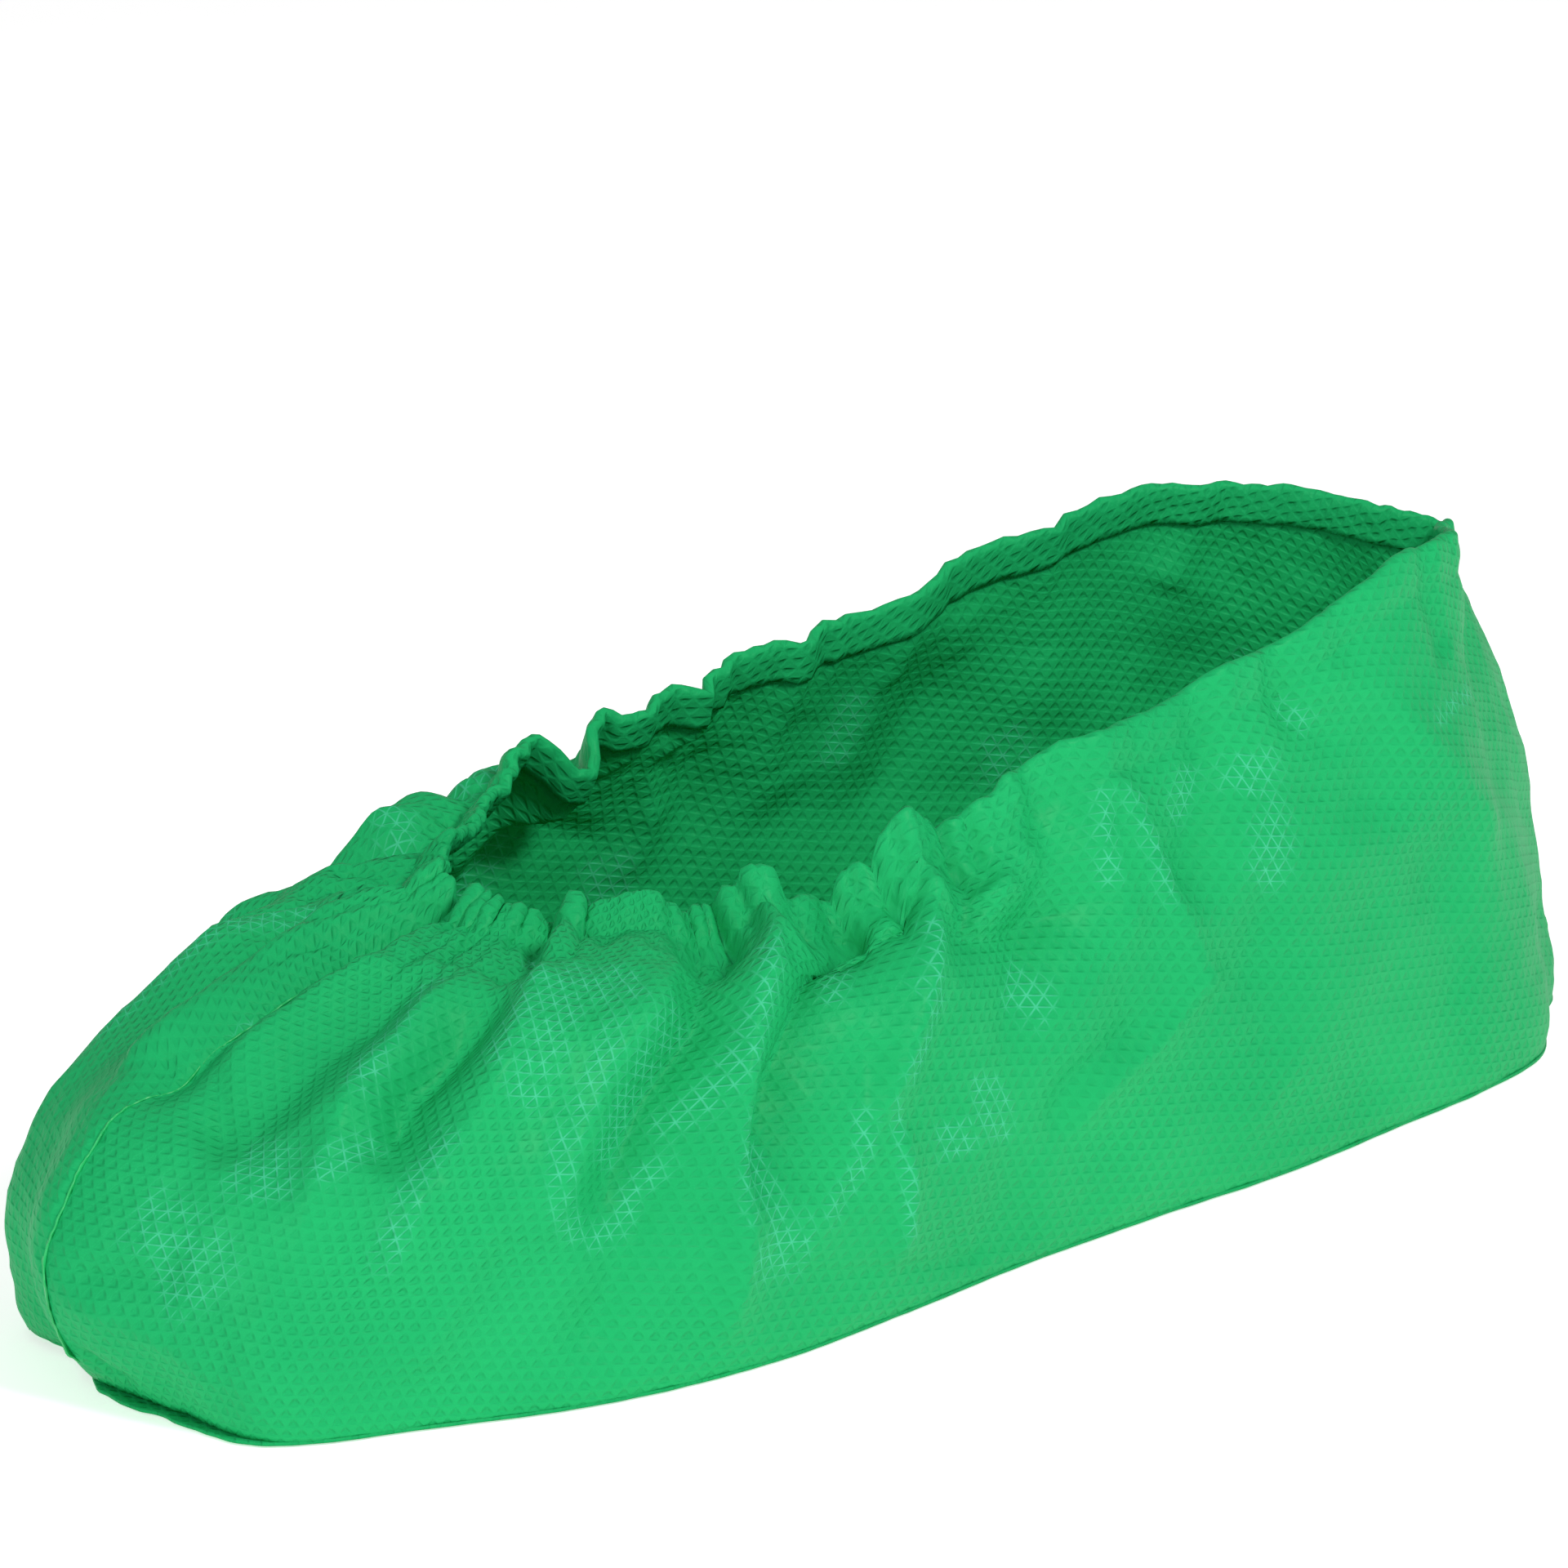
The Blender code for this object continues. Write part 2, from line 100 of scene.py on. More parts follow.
# Folds and creases. A path gives (round, up) places on the film: "round" is the share of the
# way round from the heel seam by the left side (0.5 is the toe seam), "up" the share of the
# film's height. Width and depth are in millimetres, a trough is negative. "sharp" goes from a
# round fold, 0, to a knife crease, 1. "back" widens the bank on the heel's side.
CREASES = (
    # path, width, depth, sharp, back
    (((0.500, 1.00), (0.4985, 0.90), (0.4965, 0.79), (0.4975, 0.68), (0.500, 0.59), (0.512, 0.50)),
     6.0, -6.5, 0.4, 1.0),                                        # valley of the toe seam
    (((0.470, 0.97), (0.478, 0.82), (0.482, 0.70), (0.485, 0.58)), 5.0, 2.4, 0.4, 1.0),
    (((0.4465, 0.88), (0.4535, 0.75), (0.459, 0.65), (0.4625, 0.52), (0.466, 0.44)), 8.5, -4.6, 0.2, 1.0),
    (((0.491, 0.65), (0.475, 0.55), (0.4625, 0.43)), 2.6, -1.3, 0.8, 1.0),
    (((0.4275, 0.86), (0.435, 0.77), (0.4375, 0.69), (0.440, 0.56), (0.4355, 0.42), (0.432, 0.30)),
     5.5, 4.2, 0.7, 1.0),
    (((0.4135, 0.80), (0.419, 0.69), (0.423, 0.59), (0.4235, 0.50), (0.4255, 0.44)), 5.5, -5.0, 0.4, 1.0),
    (((0.4215, 0.67), (0.4285, 0.59), (0.424, 0.53), (0.4255, 0.50)), 2.2, -1.8, 0.8, 2.0),
    (((0.4125, 0.97), (0.406, 0.76), (0.4035, 0.62), (0.406, 0.52), (0.4105, 0.42), (0.4105, 0.32),
      (0.408, 0.23)), 5.5, 4.6, 0.7, 1.0),
    (((0.420, 1.00), (0.424, 0.82)), 6.0, -5.0, 0.2, 1.0),        # pocket under the hem
    (((0.434, 0.88), (0.4225, 0.835), (0.4125, 0.815), (0.408, 0.86), (0.4115, 0.97)), 2.4, -3.6, 0.9, 1.0),
    (((0.367, 0.92), (0.374, 0.70), (0.3785, 0.56), (0.3795, 0.43), (0.384, 0.26)), 5.0, 3.6, 0.6, 1.0),
    (((0.3565, 0.97), (0.360, 0.79), (0.359, 0.66), (0.3645, 0.53), (0.368, 0.38), (0.373, 0.26)),
     6.0, -7.0, 0.4, 1.0),
    (((0.368, 0.95), (0.366, 0.905), (0.358, 0.89), (0.351, 0.93)), 2.2, -3.4, 0.9, 1.0),
    (((0.339, 0.98), (0.3455, 0.71), (0.3455, 0.57), (0.340, 0.39), (0.335, 0.16), (0.336, 0.04)),
     4.6, 4.6, 0.6, 1.0),
    (((0.316, 1.00), (0.326, 0.84), (0.331, 0.67), (0.334, 0.56), (0.3365, 0.43), (0.337, 0.28)),
     3.6, -7.4, 0.8, 2.6),                                        # longest crease of the side
    (((0.291, 1.00), (0.2945, 0.82), (0.299, 0.66), (0.3035, 0.54), (0.308, 0.45), (0.3125, 0.33),
      (0.3205, 0.16)), 5.0, 5.0, 0.7, 1.0),
    (((0.3035, 0.43), (0.2945, 0.28), (0.291, 0.08)), 3.4, 1.8, 0.8, 1.0),
    (((0.294, 0.93), (0.298, 0.89), (0.3115, 0.81), (0.326, 0.77)), 3.0, -3.2, 0.9, 2.2),
    (((0.2875, 1.00), (0.291, 0.96), (0.302, 0.87)), 2.2, -2.4, 0.9, 1.0),
    (((0.2785, 0.99), (0.273, 0.89)), 2.6, -2.4, 0.8, 1.0),
    (((0.283, 1.00), (0.2805, 0.83), (0.2795, 0.74), (0.2555, 0.71), (0.2285, 0.80)), 6.0, -5.2, 0.5, 1.0),
    (((0.252, 0.99), (0.253, 0.84), (0.262, 0.62), (0.272, 0.44)), 6.0, -3.4, 0.4, 1.0),
    (((0.2385, 0.99), (0.240, 0.85), (0.2365, 0.73), (0.235, 0.56)), 3.4, 2.2, 0.8, 1.0),
    (((0.234, 0.97), (0.2285, 0.80), (0.217, 0.55), (0.2125, 0.44)), 4.0, 3.2, 0.8, 1.0),
    (((0.208, 0.52), (0.2125, 0.48), (0.2275, 0.39), (0.241, 0.31), (0.243, 0.22)), 3.6, 2.4, 0.9, 1.0),
    (((0.2205, 0.47), (0.244, 0.375), (0.250, 0.24)), 3.6, -2.0, 0.7, 1.0),
    (((0.210, 0.99), (0.214, 0.85), (0.222, 0.64)), 5.0, -3.0, 0.5, 1.0),
    (((0.193, 0.72), (0.1975, 0.49), (0.1865, 0.20)), 6.0, -2.0, 0.4, 1.0),
    (((0.185, 1.00), (0.180, 0.93), (0.166, 0.80)), 4.0, -2.4, 0.6, 1.0),
    (((0.165, 0.99), (0.160, 0.80), (0.166, 0.60)), 9.0, -1.8, 0.0, 1.0),
    (((0.168, 0.96), (0.132, 0.67), (0.096, 0.46)), 5.0, 2.4, 0.6, 1.0),
    (((0.150, 0.60), (0.130, 0.38), (0.122, 0.16)), 6.0, -1.6, 0.5, 1.0),
    (((0.128, 0.99), (0.120, 0.86)), 4.0, -1.4, 0.3, 1.0),
    (((0.070, 0.96), (0.084, 0.72), (0.088, 0.48)), 9.0, -2.0, 0.0, 1.0),
    (((0.340, 0.22), (0.276, 0.075), (0.262, 0.04)), 1.8, -0.7, 0.9, 1.0),      # pressed in when packed
    (((0.352, 0.50), (0.357, 0.33), (0.3615, 0.20), (0.366, 0.06)), 4.5, -2.6, 0.5, 1.0),
    (((0.3885, 0.48), (0.3945, 0.27), (0.400, 0.07)), 4.5, 2.2, 0.6, 1.0),
    (((0.448, 0.55), (0.437, 0.46), (0.425, 0.30)), 7.0, -1.4, 0.0, 1.0),
    (((0.313, 0.64), (0.310, 0.42), (0.314, 0.20)), 4.4, -2.4, 0.6, 1.0),
    (((0.4975, 0.23), (0.476, 0.26), (0.4555, 0.27)), 3.0, -1.8, 0.6, 1.0),
    (((0.498, 0.19), (0.467, 0.17), (0.440, 0.08)), 3.5, 1.1, 0.5, 1.0),
    (((0.497, 0.10), (0.489, 0.05), (0.478, 0.02)), 2.2, -1.4, 0.7, 1.0),
    # the right side
    (((0.510, 0.20), (0.522, 0.13), (0.540, 0.08)), 3.4, -0.9, 0.6, 1.0),
    (((0.504, 0.63), (0.514, 0.58), (0.530, 0.48)), 4.5, -1.8, 0.4, 1.0),
    (((0.548, 0.95), (0.526, 0.80), (0.5215, 0.62), (0.524, 0.40)), 5.5, 2.6, 0.4, 1.0),
    (((0.592, 0.92), (0.553, 0.82), (0.540, 0.72), (0.534, 0.55)), 6.5, -4.6, 0.3, 1.0),
    (((0.580, 0.92), (0.572, 0.66), (0.566, 0.38), (0.566, 0.06)), 7.0, 2.2, 0.3, 1.0),
    (((0.586, 0.98), (0.584, 0.84), (0.578, 0.70)), 2.6, -3.4, 0.9, 1.0),
    (((0.600, 0.86), (0.597, 0.66), (0.590, 0.48), (0.586, 0.34)), 6.0, -5.4, 0.3, 1.0),
    (((0.626, 0.90), (0.648, 0.89), (0.672, 0.89)), 8.0, 5.2, 0.0, 1.0),   # puffed up below the hem
    (((0.665, 0.91), (0.680, 0.93), (0.695, 0.92)), 7.5, 4.6, 0.0, 1.0),
    (((0.616, 0.84), (0.613, 0.62), (0.606, 0.42), (0.604, 0.26)), 5.0, 2.2, 0.7, 1.0),
    (((0.594, 0.18), (0.603, 0.40), (0.611, 0.60), (0.620, 0.76), (0.630, 0.92)), 10.0, -3.2, 0.0, 1.0),
    (((0.632, 0.96), (0.626, 0.80), (0.629, 0.60), (0.624, 0.46)), 3.6, -4.8, 0.8, 1.6),
    (((0.652, 0.74), (0.648, 0.62), (0.640, 0.48), (0.638, 0.34)), 6.5, -5.2, 0.3, 1.0),
    (((0.668, 0.78), (0.663, 0.58), (0.664, 0.40), (0.660, 0.24)), 4.2, 3.6, 0.7, 1.0),
    (((0.682, 0.80), (0.677, 0.62), (0.680, 0.46)), 3.4, -3.2, 0.8, 1.0),
    (((0.700, 0.97), (0.694, 0.78), (0.688, 0.56)), 6.0, -4.4, 0.4, 1.0),
    (((0.712, 0.96), (0.708, 0.76), (0.700, 0.52), (0.694, 0.30)), 4.6, 3.2, 0.7, 1.0),
    (((0.724, 0.98), (0.723, 0.84), (0.722, 0.66)), 7.0, -3.2, 0.2, 1.0),
    (((0.742, 0.99), (0.736, 0.86), (0.744, 0.66), (0.742, 0.50)), 3.0, -2.4, 0.8, 1.0),
    (((0.754, 0.96), (0.752, 0.78), (0.758, 0.56)), 4.0, 1.8, 0.7, 1.0),
    (((0.770, 0.99), (0.768, 0.80), (0.774, 0.60)), 4.0, -2.0, 0.6, 1.0),
    (((0.800, 0.99), (0.794, 0.84), (0.790, 0.62)), 5.0, -2.0, 0.4, 1.0),
    (((0.812, 0.92), (0.808, 0.74), (0.798, 0.50)), 3.6, 1.4, 0.8, 1.0),
    (((0.838, 0.98), (0.844, 0.80), (0.836, 0.62)), 7.0, -2.0, 0.2, 1.0),
    (((0.884, 0.98), (0.876, 0.86)), 4.0, -1.6, 0.4, 1.0),
    (((0.925, 0.94), (0.914, 0.70), (0.910, 0.46)), 9.0, -2.0, 0.0, 1.0),
    (((0.620, 0.42), (0.626, 0.26), (0.622, 0.12)), 5.0, -1.4, 0.4, 1.0),
    (((0.690, 0.40), (0.700, 0.24), (0.730, 0.10)), 3.0, -1.2, 0.7, 1.0),
)

# The hem's upper edge: (round, how far it stands above its even line in millimetres, how
# closely it is ruffled there from 0 to 1).
HEM_EDGE = (
    (0.000, -1.0, 0.2), (0.030, -0.4, 0.2), (0.130, 1.2, 0.1), (0.165, 0.6, 0.1), (0.179, -0.5, 0.3),
    (0.190, 0.4, 0.2), (0.206, 0.9, 0.2), (0.216, -0.2, 0.3), (0.224, -1.1, 0.3), (0.236, -0.3, 0.2),
    (0.250, 0.0, 0.2), (0.260, -0.9, 0.2), (0.263, -2.7, 0.6), (0.274, -3.1, 0.4), (0.279, -2.6, 0.3),
    (0.282, -0.9, 0.1), (0.287, 0.2, 0.0), (0.293, -1.0, 0.0), (0.2975, -2.4, 0.2), (0.301, -5.2, 0.8),
    (0.304, -3.2, 1.0), (0.308, -2.4, 1.0), (0.3125, -4.7, 0.7), (0.316, -3.8, 0.2), (0.3195, -3.9, 0.1),
    (0.3255, -6.0, 0.3), (0.332, -4.2, 0.8), (0.339, -2.1, 1.0), (0.346, -2.4, 1.0), (0.355, -0.6, 1.0),
    (0.361, -0.8, 0.8), (0.3645, -2.0, 0.8), (0.370, -1.1, 0.3), (0.388, -1.3, 0.1), (0.401, -3.0, 0.3),
    (0.405, -3.6, 0.6), (0.413, -2.5, 0.8), (0.418, -2.5, 1.0), (0.422, -3.6, 0.8), (0.426, -3.0, 0.4),
    (0.443, -3.4, 0.6), (0.458, -3.6, 1.0), (0.475, -2.4, 1.0), (0.490, -2.8, 1.0), (0.505, -1.4, 1.0),
    (0.525, -1.8, 1.0), (0.545, -0.8, 1.0), (0.560, -2.2, 1.0), (0.580, -0.6, 0.8), (0.596, -2.4, 1.0),
    (0.612, -0.4, 0.5), (0.634, 0.6, 0.4), (0.650, -1.8, 1.0), (0.668, 0.8, 0.5), (0.690, 1.0, 0.4),
    (0.702, -1.8, 0.9), (0.722, 0.0, 0.3), (0.742, -1.4, 0.6), (0.758, 0.2, 0.2), (0.785, -0.6, 0.3),
    (0.812, 0.6, 0.2), (0.838, -0.4, 0.3), (0.870, 0.8, 0.1), (0.920, 0.6, 0.1), (0.970, -0.3, 0.2),
    (1.000, -1.0, 0.2),
)

# The listed patches where the embossed lines are drawn pale: (path, width in millimetres).
PALE = (
    (((0.405, 0.80), (0.406, 0.67), (0.407, 0.59)), 3.0),
    (((0.404, 0.77), (0.391, 0.77), (0.379, 0.77)), 5.7),
    (((0.398, 0.76), (0.396, 0.65), (0.396, 0.57), (0.398, 0.53)), 3.5),
    (((0.383, 0.73), (0.382, 0.60), (0.384, 0.48), (0.379, 0.37), (0.370, 0.31), (0.362, 0.31),
      (0.360, 0.38), (0.353, 0.43)), 2.3),
    (((0.363, 0.71), (0.369, 0.62), (0.371, 0.50), (0.371, 0.41)), 3.8),
    (((0.344, 0.91), (0.345, 0.69), (0.348, 0.58), (0.354, 0.50), (0.362, 0.46)), 2.4),
    (((0.342, 0.50), (0.339, 0.38), (0.337, 0.29)), 2.0),
    (((0.337, 0.42), (0.331, 0.33), (0.325, 0.23)), 3.0),
    (((0.335, 0.25), (0.327, 0.23), (0.317, 0.22)), 5.4),
    (((0.311, 0.46), (0.310, 0.34), (0.316, 0.25)), 2.3),
    (((0.295, 0.84), (0.297, 0.70), (0.298, 0.56), (0.304, 0.47)), 2.4),
    (((0.297, 0.66), (0.2975, 0.62)), 4.6),
    (((0.305, 0.47), (0.300, 0.37), (0.290, 0.15)), 1.6),
    (((0.316, 0.80), (0.320, 0.72), (0.321, 0.66)), 2.4),
    (((0.273, 0.44), (0.265, 0.35), (0.265, 0.29)), 2.2),
    (((0.277, 0.46), (0.273, 0.37), (0.267, 0.31)), 2.2),
    (((0.282, 0.38), (0.280, 0.30)), 5.9),
    (((0.266, 0.62), (0.261, 0.57), (0.254, 0.53)), 4.6),
    (((0.238, 0.98), (0.240, 0.88), (0.239, 0.74)), 2.3),
    (((0.232, 0.98), (0.231, 0.88), (0.228, 0.79), (0.225, 0.66)), 2.0),
    (((0.215, 0.96), (0.216, 0.90), (0.221, 0.84)), 3.5),
    (((0.198, 0.92), (0.198, 0.86), (0.199, 0.82)), 6.8),
    (((0.197, 0.80), (0.194, 0.72), (0.199, 0.64)), 5.4),
    (((0.140, 0.77), (0.120, 0.78), (0.099, 0.79)), 1.6),
    (((0.183, 0.99), (0.181, 0.95), (0.176, 0.89)), 2.4),
    (((0.442, 0.83), (0.442, 0.70), (0.438, 0.56)), 2.7),
    (((0.435, 0.43), (0.433, 0.47), (0.425, 0.51)), 2.7),
    (((0.462, 0.47), (0.452, 0.46), (0.447, 0.40)), 6.2),
    (((0.480, 0.37), (0.468, 0.34), (0.456, 0.30), (0.468, 0.24)), 6.2),
    (((0.497, 0.74), (0.495, 0.69)), 3.0),
    (((0.409, 0.51), (0.412, 0.44), (0.413, 0.28)), 2.0),
    (((0.415, 0.95), (0.421, 0.93)), 3.2),
    (((0.572, 0.90), (0.570, 0.70), (0.566, 0.48)), 3.0),
    (((0.610, 0.86), (0.630, 0.92), (0.648, 0.88)), 3.5),
    (((0.668, 0.90), (0.690, 0.96)), 4.1),
    (((0.616, 0.70), (0.618, 0.52), (0.612, 0.40)), 4.1),
    (((0.640, 0.36), (0.650, 0.30)), 6.1),
    (((0.702, 0.80), (0.706, 0.62), (0.700, 0.50)), 3.2),
    (((0.735, 0.60), (0.742, 0.46)), 5.4),
    (((0.790, 0.90), (0.786, 0.70)), 3.5),
    (((0.832, 0.66), (0.838, 0.54)), 5.7),
    (((0.900, 0.74), (0.918, 0.60)), 1.9),
)


def smooth(low, high, x):
    """Rises softly from 0 at low to 1 at high."""
    t = np.clip((np.asarray(x, float) - low) / (high - low), 0, 1)
    return t * t * (3 - 2 * t)


def unit(v):
    """The same direction at length 1."""
    return v / np.maximum(np.linalg.norm(v, axis=-1, keepdims=True), 1e-9)


def between(a, b, c, d, f):
    """A smooth curve through four values in a row, at a share f of the way from b to c."""
    return 0.5 * (2 * b + (c - a) * f + (2 * a - 5 * b + 4 * c - d) * f ** 2
                  + (3 * b - a - 3 * c + d) * f ** 3)


def section(share):
    """The section table read smoothly at a share of the way from heel seam to toe seam."""
    rows = np.array(SECTIONS, float)
    # past either seam the table goes on with the other side's mirrored row
    mirror = np.ones(LAY + 1)
    mirror[[OUT, HEM_OUT]] = -1
    before, after = rows[1] * mirror, rows[-2] * mirror
    before[TURN], after[TURN] = 360 - rows[1][TURN], -rows[-2][TURN]
    rows = np.vstack([before, rows, after])
    place = np.clip(share, 0, 1) * (len(SECTIONS) - 1)
    i = np.minimum(place.astype(int), len(SECTIONS) - 2)
    return between(rows[i], rows[i + 1], rows[i + 2], rows[i + 3], (place - i)[..., None])


def sides(around):
    """Share of the way from heel to toe, and +1 on the left side or -1 on the right."""
    return 1 - np.abs(1 - 2 * around), np.where(around <= 0.5, 1.0, -1.0)


def sole_edge(around):
    """Outline of the sole panel and the level outward direction there."""
    share, side = sides(around)
    row = section(share)
    at_corner = TOE_CORNER / (len(SECTIONS) - 1)
    tuck = (np.where(side < 0, 1.0, 0.0) * smooth(at_corner - 0.12, at_corner, share)
            * (1 - smooth(at_corner + 0.06, 1, share)) * FAR_TUCK)
    turn = np.radians(row[..., TURN])
    out = np.stack([np.cos(turn), side * np.sin(turn)], -1)
    edge = np.stack([HEEL + row[..., ALONG] * SOLE_LENGTH - tuck,
                     side * (row[..., OUT] * SOLE_WIDTH / 2 - tuck)], -1)
    return edge, out


def film(around, up):
    """Middle of the smooth film. Beyond up = 1 it follows the hem's band."""
    edge, out = sole_edge(around)
    share, side = sides(around)
    row = section(share)
    level = np.zeros(around.shape)
    flat = np.stack([out[..., 0], out[..., 1], level], -1)
    rise = np.stack([level, level, level + 1], -1)
    foot = np.stack([edge[..., 0], edge[..., 1], level + SOLE_FILM + CLEAR + FILM / 2], -1)
    foot -= flat * (row[..., LEDGE] * TOE_LEDGE + FILM / 2)[..., None]
    hem = np.stack([HEEL + row[..., HEM_ALONG] * SOLE_LENGTH, side * row[..., HEM_OUT] * SOLE_WIDTH / 2,
                    row[..., HEM_UP] * COLLAR_RISE], -1)
    low = foot + (flat * row[..., [LOW_OUT]] + rise * row[..., [LOW_UP]]) * COLLAR_RISE
    high = hem + (flat * row[..., [HIGH_OUT]] + rise * row[..., [HIGH_UP]]) * COLLAR_RISE
    t = np.clip(up, 0, 1)[..., None]
    point = ((1 - t) ** 3 * foot + 3 * (1 - t) ** 2 * t * low
             + 3 * (1 - t) * t ** 2 * high + t ** 3 * hem)
    lean = row[..., [LEAN]]
    band = rise * np.sqrt(1 - lean ** 2) - flat * lean
    return point + band * (np.maximum(up - 1, 0)[..., None] * HEM_BAND), flat, band


def outward(grid):
    """Outward direction on a closed ring of film columns."""
    turn = np.roll(grid, -1, axis=0) - np.roll(grid, 1, axis=0)
    return unit(np.cross(np.gradient(grid, axis=1), turn))


def spread(marks, steps=7):
    """A smooth run of (round, up) places through the marks of a path."""
    marks = np.array(marks, float)
    marks = np.vstack([2 * marks[0] - marks[1], marks, 2 * marks[-1] - marks[-2]])
    f = (np.arange(steps) / steps)[:, None]
    run = [between(a, b, c, d, f) for a, b, c, d in zip(marks, marks[1:], marks[2:], marks[3:])]
    return np.vstack(run + [marks[-2:-1]])


def from_path(points, out, marks, reach):
    """Which points lie within reach of a path on the film, how far from it on either side
    (positive towards the heel on the left panel) and how far along it, from 0 to 1."""
    run = spread(marks)
    line = film(run[:, 0], run[:, 1])[0]
    low, high = line.min(axis=0) - reach, line.max(axis=0) + reach
    near = np.nonzero(((points > low) & (points < high)).all(axis=-1))[0]
    start, step = line[:-1], np.diff(line, axis=0)
    off = points[near][:, None] - start
    t = np.clip((off * step).sum(-1) / (step ** 2).sum(-1), 0, 1)
    miss = off - t[..., None] * step
    far = np.linalg.norm(miss, axis=-1)
    best = far.argmin(axis=1)
    pick = np.arange(len(near)), best
    side = (np.cross(step[best], miss[pick]) * out[near]).sum(-1)
    return near, far[pick] * np.sign(side + 1e-12), (best + t[pick]) / len(step)


def fold_height(points, out, marks, width, depth, sharp, back):
    """Height that one fold adds at each of the points. It widens along its path and fades out at
    both ends, but not at the hem where it starts there."""
    width, depth = width * MM, depth * MM
    height = np.zeros(len(points))
    near, miss, along = from_path(points, out, marks, FOLD_REACH * width * max(back, 1))
    wide = width * (0.75 + 0.5 * along) * np.where(miss > 0, back, 1.0)
    ratio = np.abs(miss) / wide
    shape = (1 - sharp) * np.exp(-ratio ** 2) + sharp * np.exp(-np.sqrt(ratio ** 2 + 0.01) + 0.1)
    start = 1.0 if marks[0][1] > 0.94 else smooth(0, 0.3, along)
    height[near] = depth * shape * start * (1 - smooth(0.75, 1, along))
    return height


def ripple(u, v, length, seed, waves=18):
    """Soft uneven waves of about one length, between -1 and 1 for the most part."""
    dice = np.random.default_rng(seed)
    total = np.zeros(np.shape(u))
    for _ in range(waves):
        angle, phase = dice.uniform(0, 2 * math.pi, 2)
        k = 2 * math.pi / (length * dice.uniform(0.7, 1.5))
        total += np.cos(k * (u * math.cos(angle) + v * math.sin(angle)) + phase)
    return total / math.sqrt(waves)


# The film's mesh. Columns stand closer over the instep and the toe, where it is gathered.
COLUMNS, ROWS = 500, 92
TUCK_IN, TUCK_DOWN = 0.9 * MM, 0.85 * MM   # how far the film's foot is turned in behind the toe
spot = np.linspace(0, 1, 4001)
density = 0.8 + 1.0 * smooth(0.20, 0.30, spot) * (1 - smooth(0.68, 0.80, spot))
count = np.concatenate([[0], np.cumsum((density[1:] + density[:-1]) / 2)])
on_left = np.interp(0.5, spot, count)
left = np.interp(np.linspace(0, 0.5, COLUMNS // 2 + 1), 0.5 * count / on_left, spot)
right = np.interp(np.linspace(0.5, 1, COLUMNS // 2 + 1),
                  0.5 + 0.5 * (count - on_left) / (count[-1] - on_left), spot)
around = np.concatenate([left, right[1:-1]])
# the last row reaches up into the hem
ups = np.append(1 - (1 - np.linspace(0, 1, ROWS)) ** 0.94, 1 + HEM_LAP / HEM_BAND)
round_at, up_at = np.meshgrid(around, ups, indexing="ij")
smooth_film, flat, band = film(round_at, up_at)
share = sides(round_at)[0]
at_toe = smooth(0.84, 0.90, share)
# behind the toe the film turns in under the foot line, where it is welded to the sole's edge
tucked = ((1 - smooth(0, 0.035, up_at)) * (1 - at_toe))[..., None]
smooth_film -= flat * tucked * TUCK_IN
smooth_film[..., 2] -= tucked[..., 0] * TUCK_DOWN
out = outward(smooth_film)
at_hem = ROWS - 1
edge_round, edge_stands, edge_ruffled = np.array(HEM_EDGE).T
hem_lift = np.interp(around, edge_round, edge_stands) * MM
ruffled = np.interp(around, edge_round, edge_ruffled)
averaged = np.convolve(np.pad(edge_stands, 3, mode="edge"), np.ones(7) / 7, "valid")
even_lift = np.interp(around, edge_round, averaged) * MM

# The film as it was cut, in metres: "cut" is where each point lies on the flat panel, with the
# rows of the embossing level. The foot line is laid out first and each column stands straight
# up on it.
foot_step = np.linalg.norm(np.diff(smooth_film[:, 0], axis=0, append=smooth_film[:1, 0]), axis=-1)
column = np.cumsum(np.linalg.norm(np.diff(smooth_film, axis=1, prepend=smooth_film[:, :1]), axis=-1),
                   axis=1)


def lay_flat():
    """Flat places of the left panel's columns and of the right one's, each from its heel seam."""
    placed = {}
    half = COLUMNS // 2
    order = {1: list(range(half + 1)), -1: [0] + list(range(COLUMNS - 1, half - 1, -1))}
    for side, columns in order.items():
        share = sides(around[columns])[0]
        lay = np.radians(section(share)[:, LAY])
        gap = np.linalg.norm(np.diff(smooth_film[columns][:, 0], axis=0), axis=-1)
        stretch = 1.0 + SIDE_STRETCH * (1 - smooth(0.60, 0.88, share))
        step = gap / ((stretch[1:] + stretch[:-1]) / 2)
        turn = (lay[1:] + lay[:-1]) / 2
        foot = np.zeros((len(columns), 2))
        foot[1:, 0] = np.cumsum(step * np.cos(turn))
        foot[1:, 1] = np.cumsum(step * np.sin(turn))
        cut = np.repeat(foot[:, None], len(ups), axis=1)
        cut[..., 1] += column[columns]
        cut[..., 0] *= side
        placed[side] = dict(zip(columns, cut))
    return placed


panels = lay_flat()
cut_u = np.array([panels[1 if i <= COLUMNS // 2 else -1][i][:, 0] for i in range(COLUMNS)])
cut_v = np.array([panels[1 if i <= COLUMNS // 2 else -1][i][:, 1] for i in range(COLUMNS)])
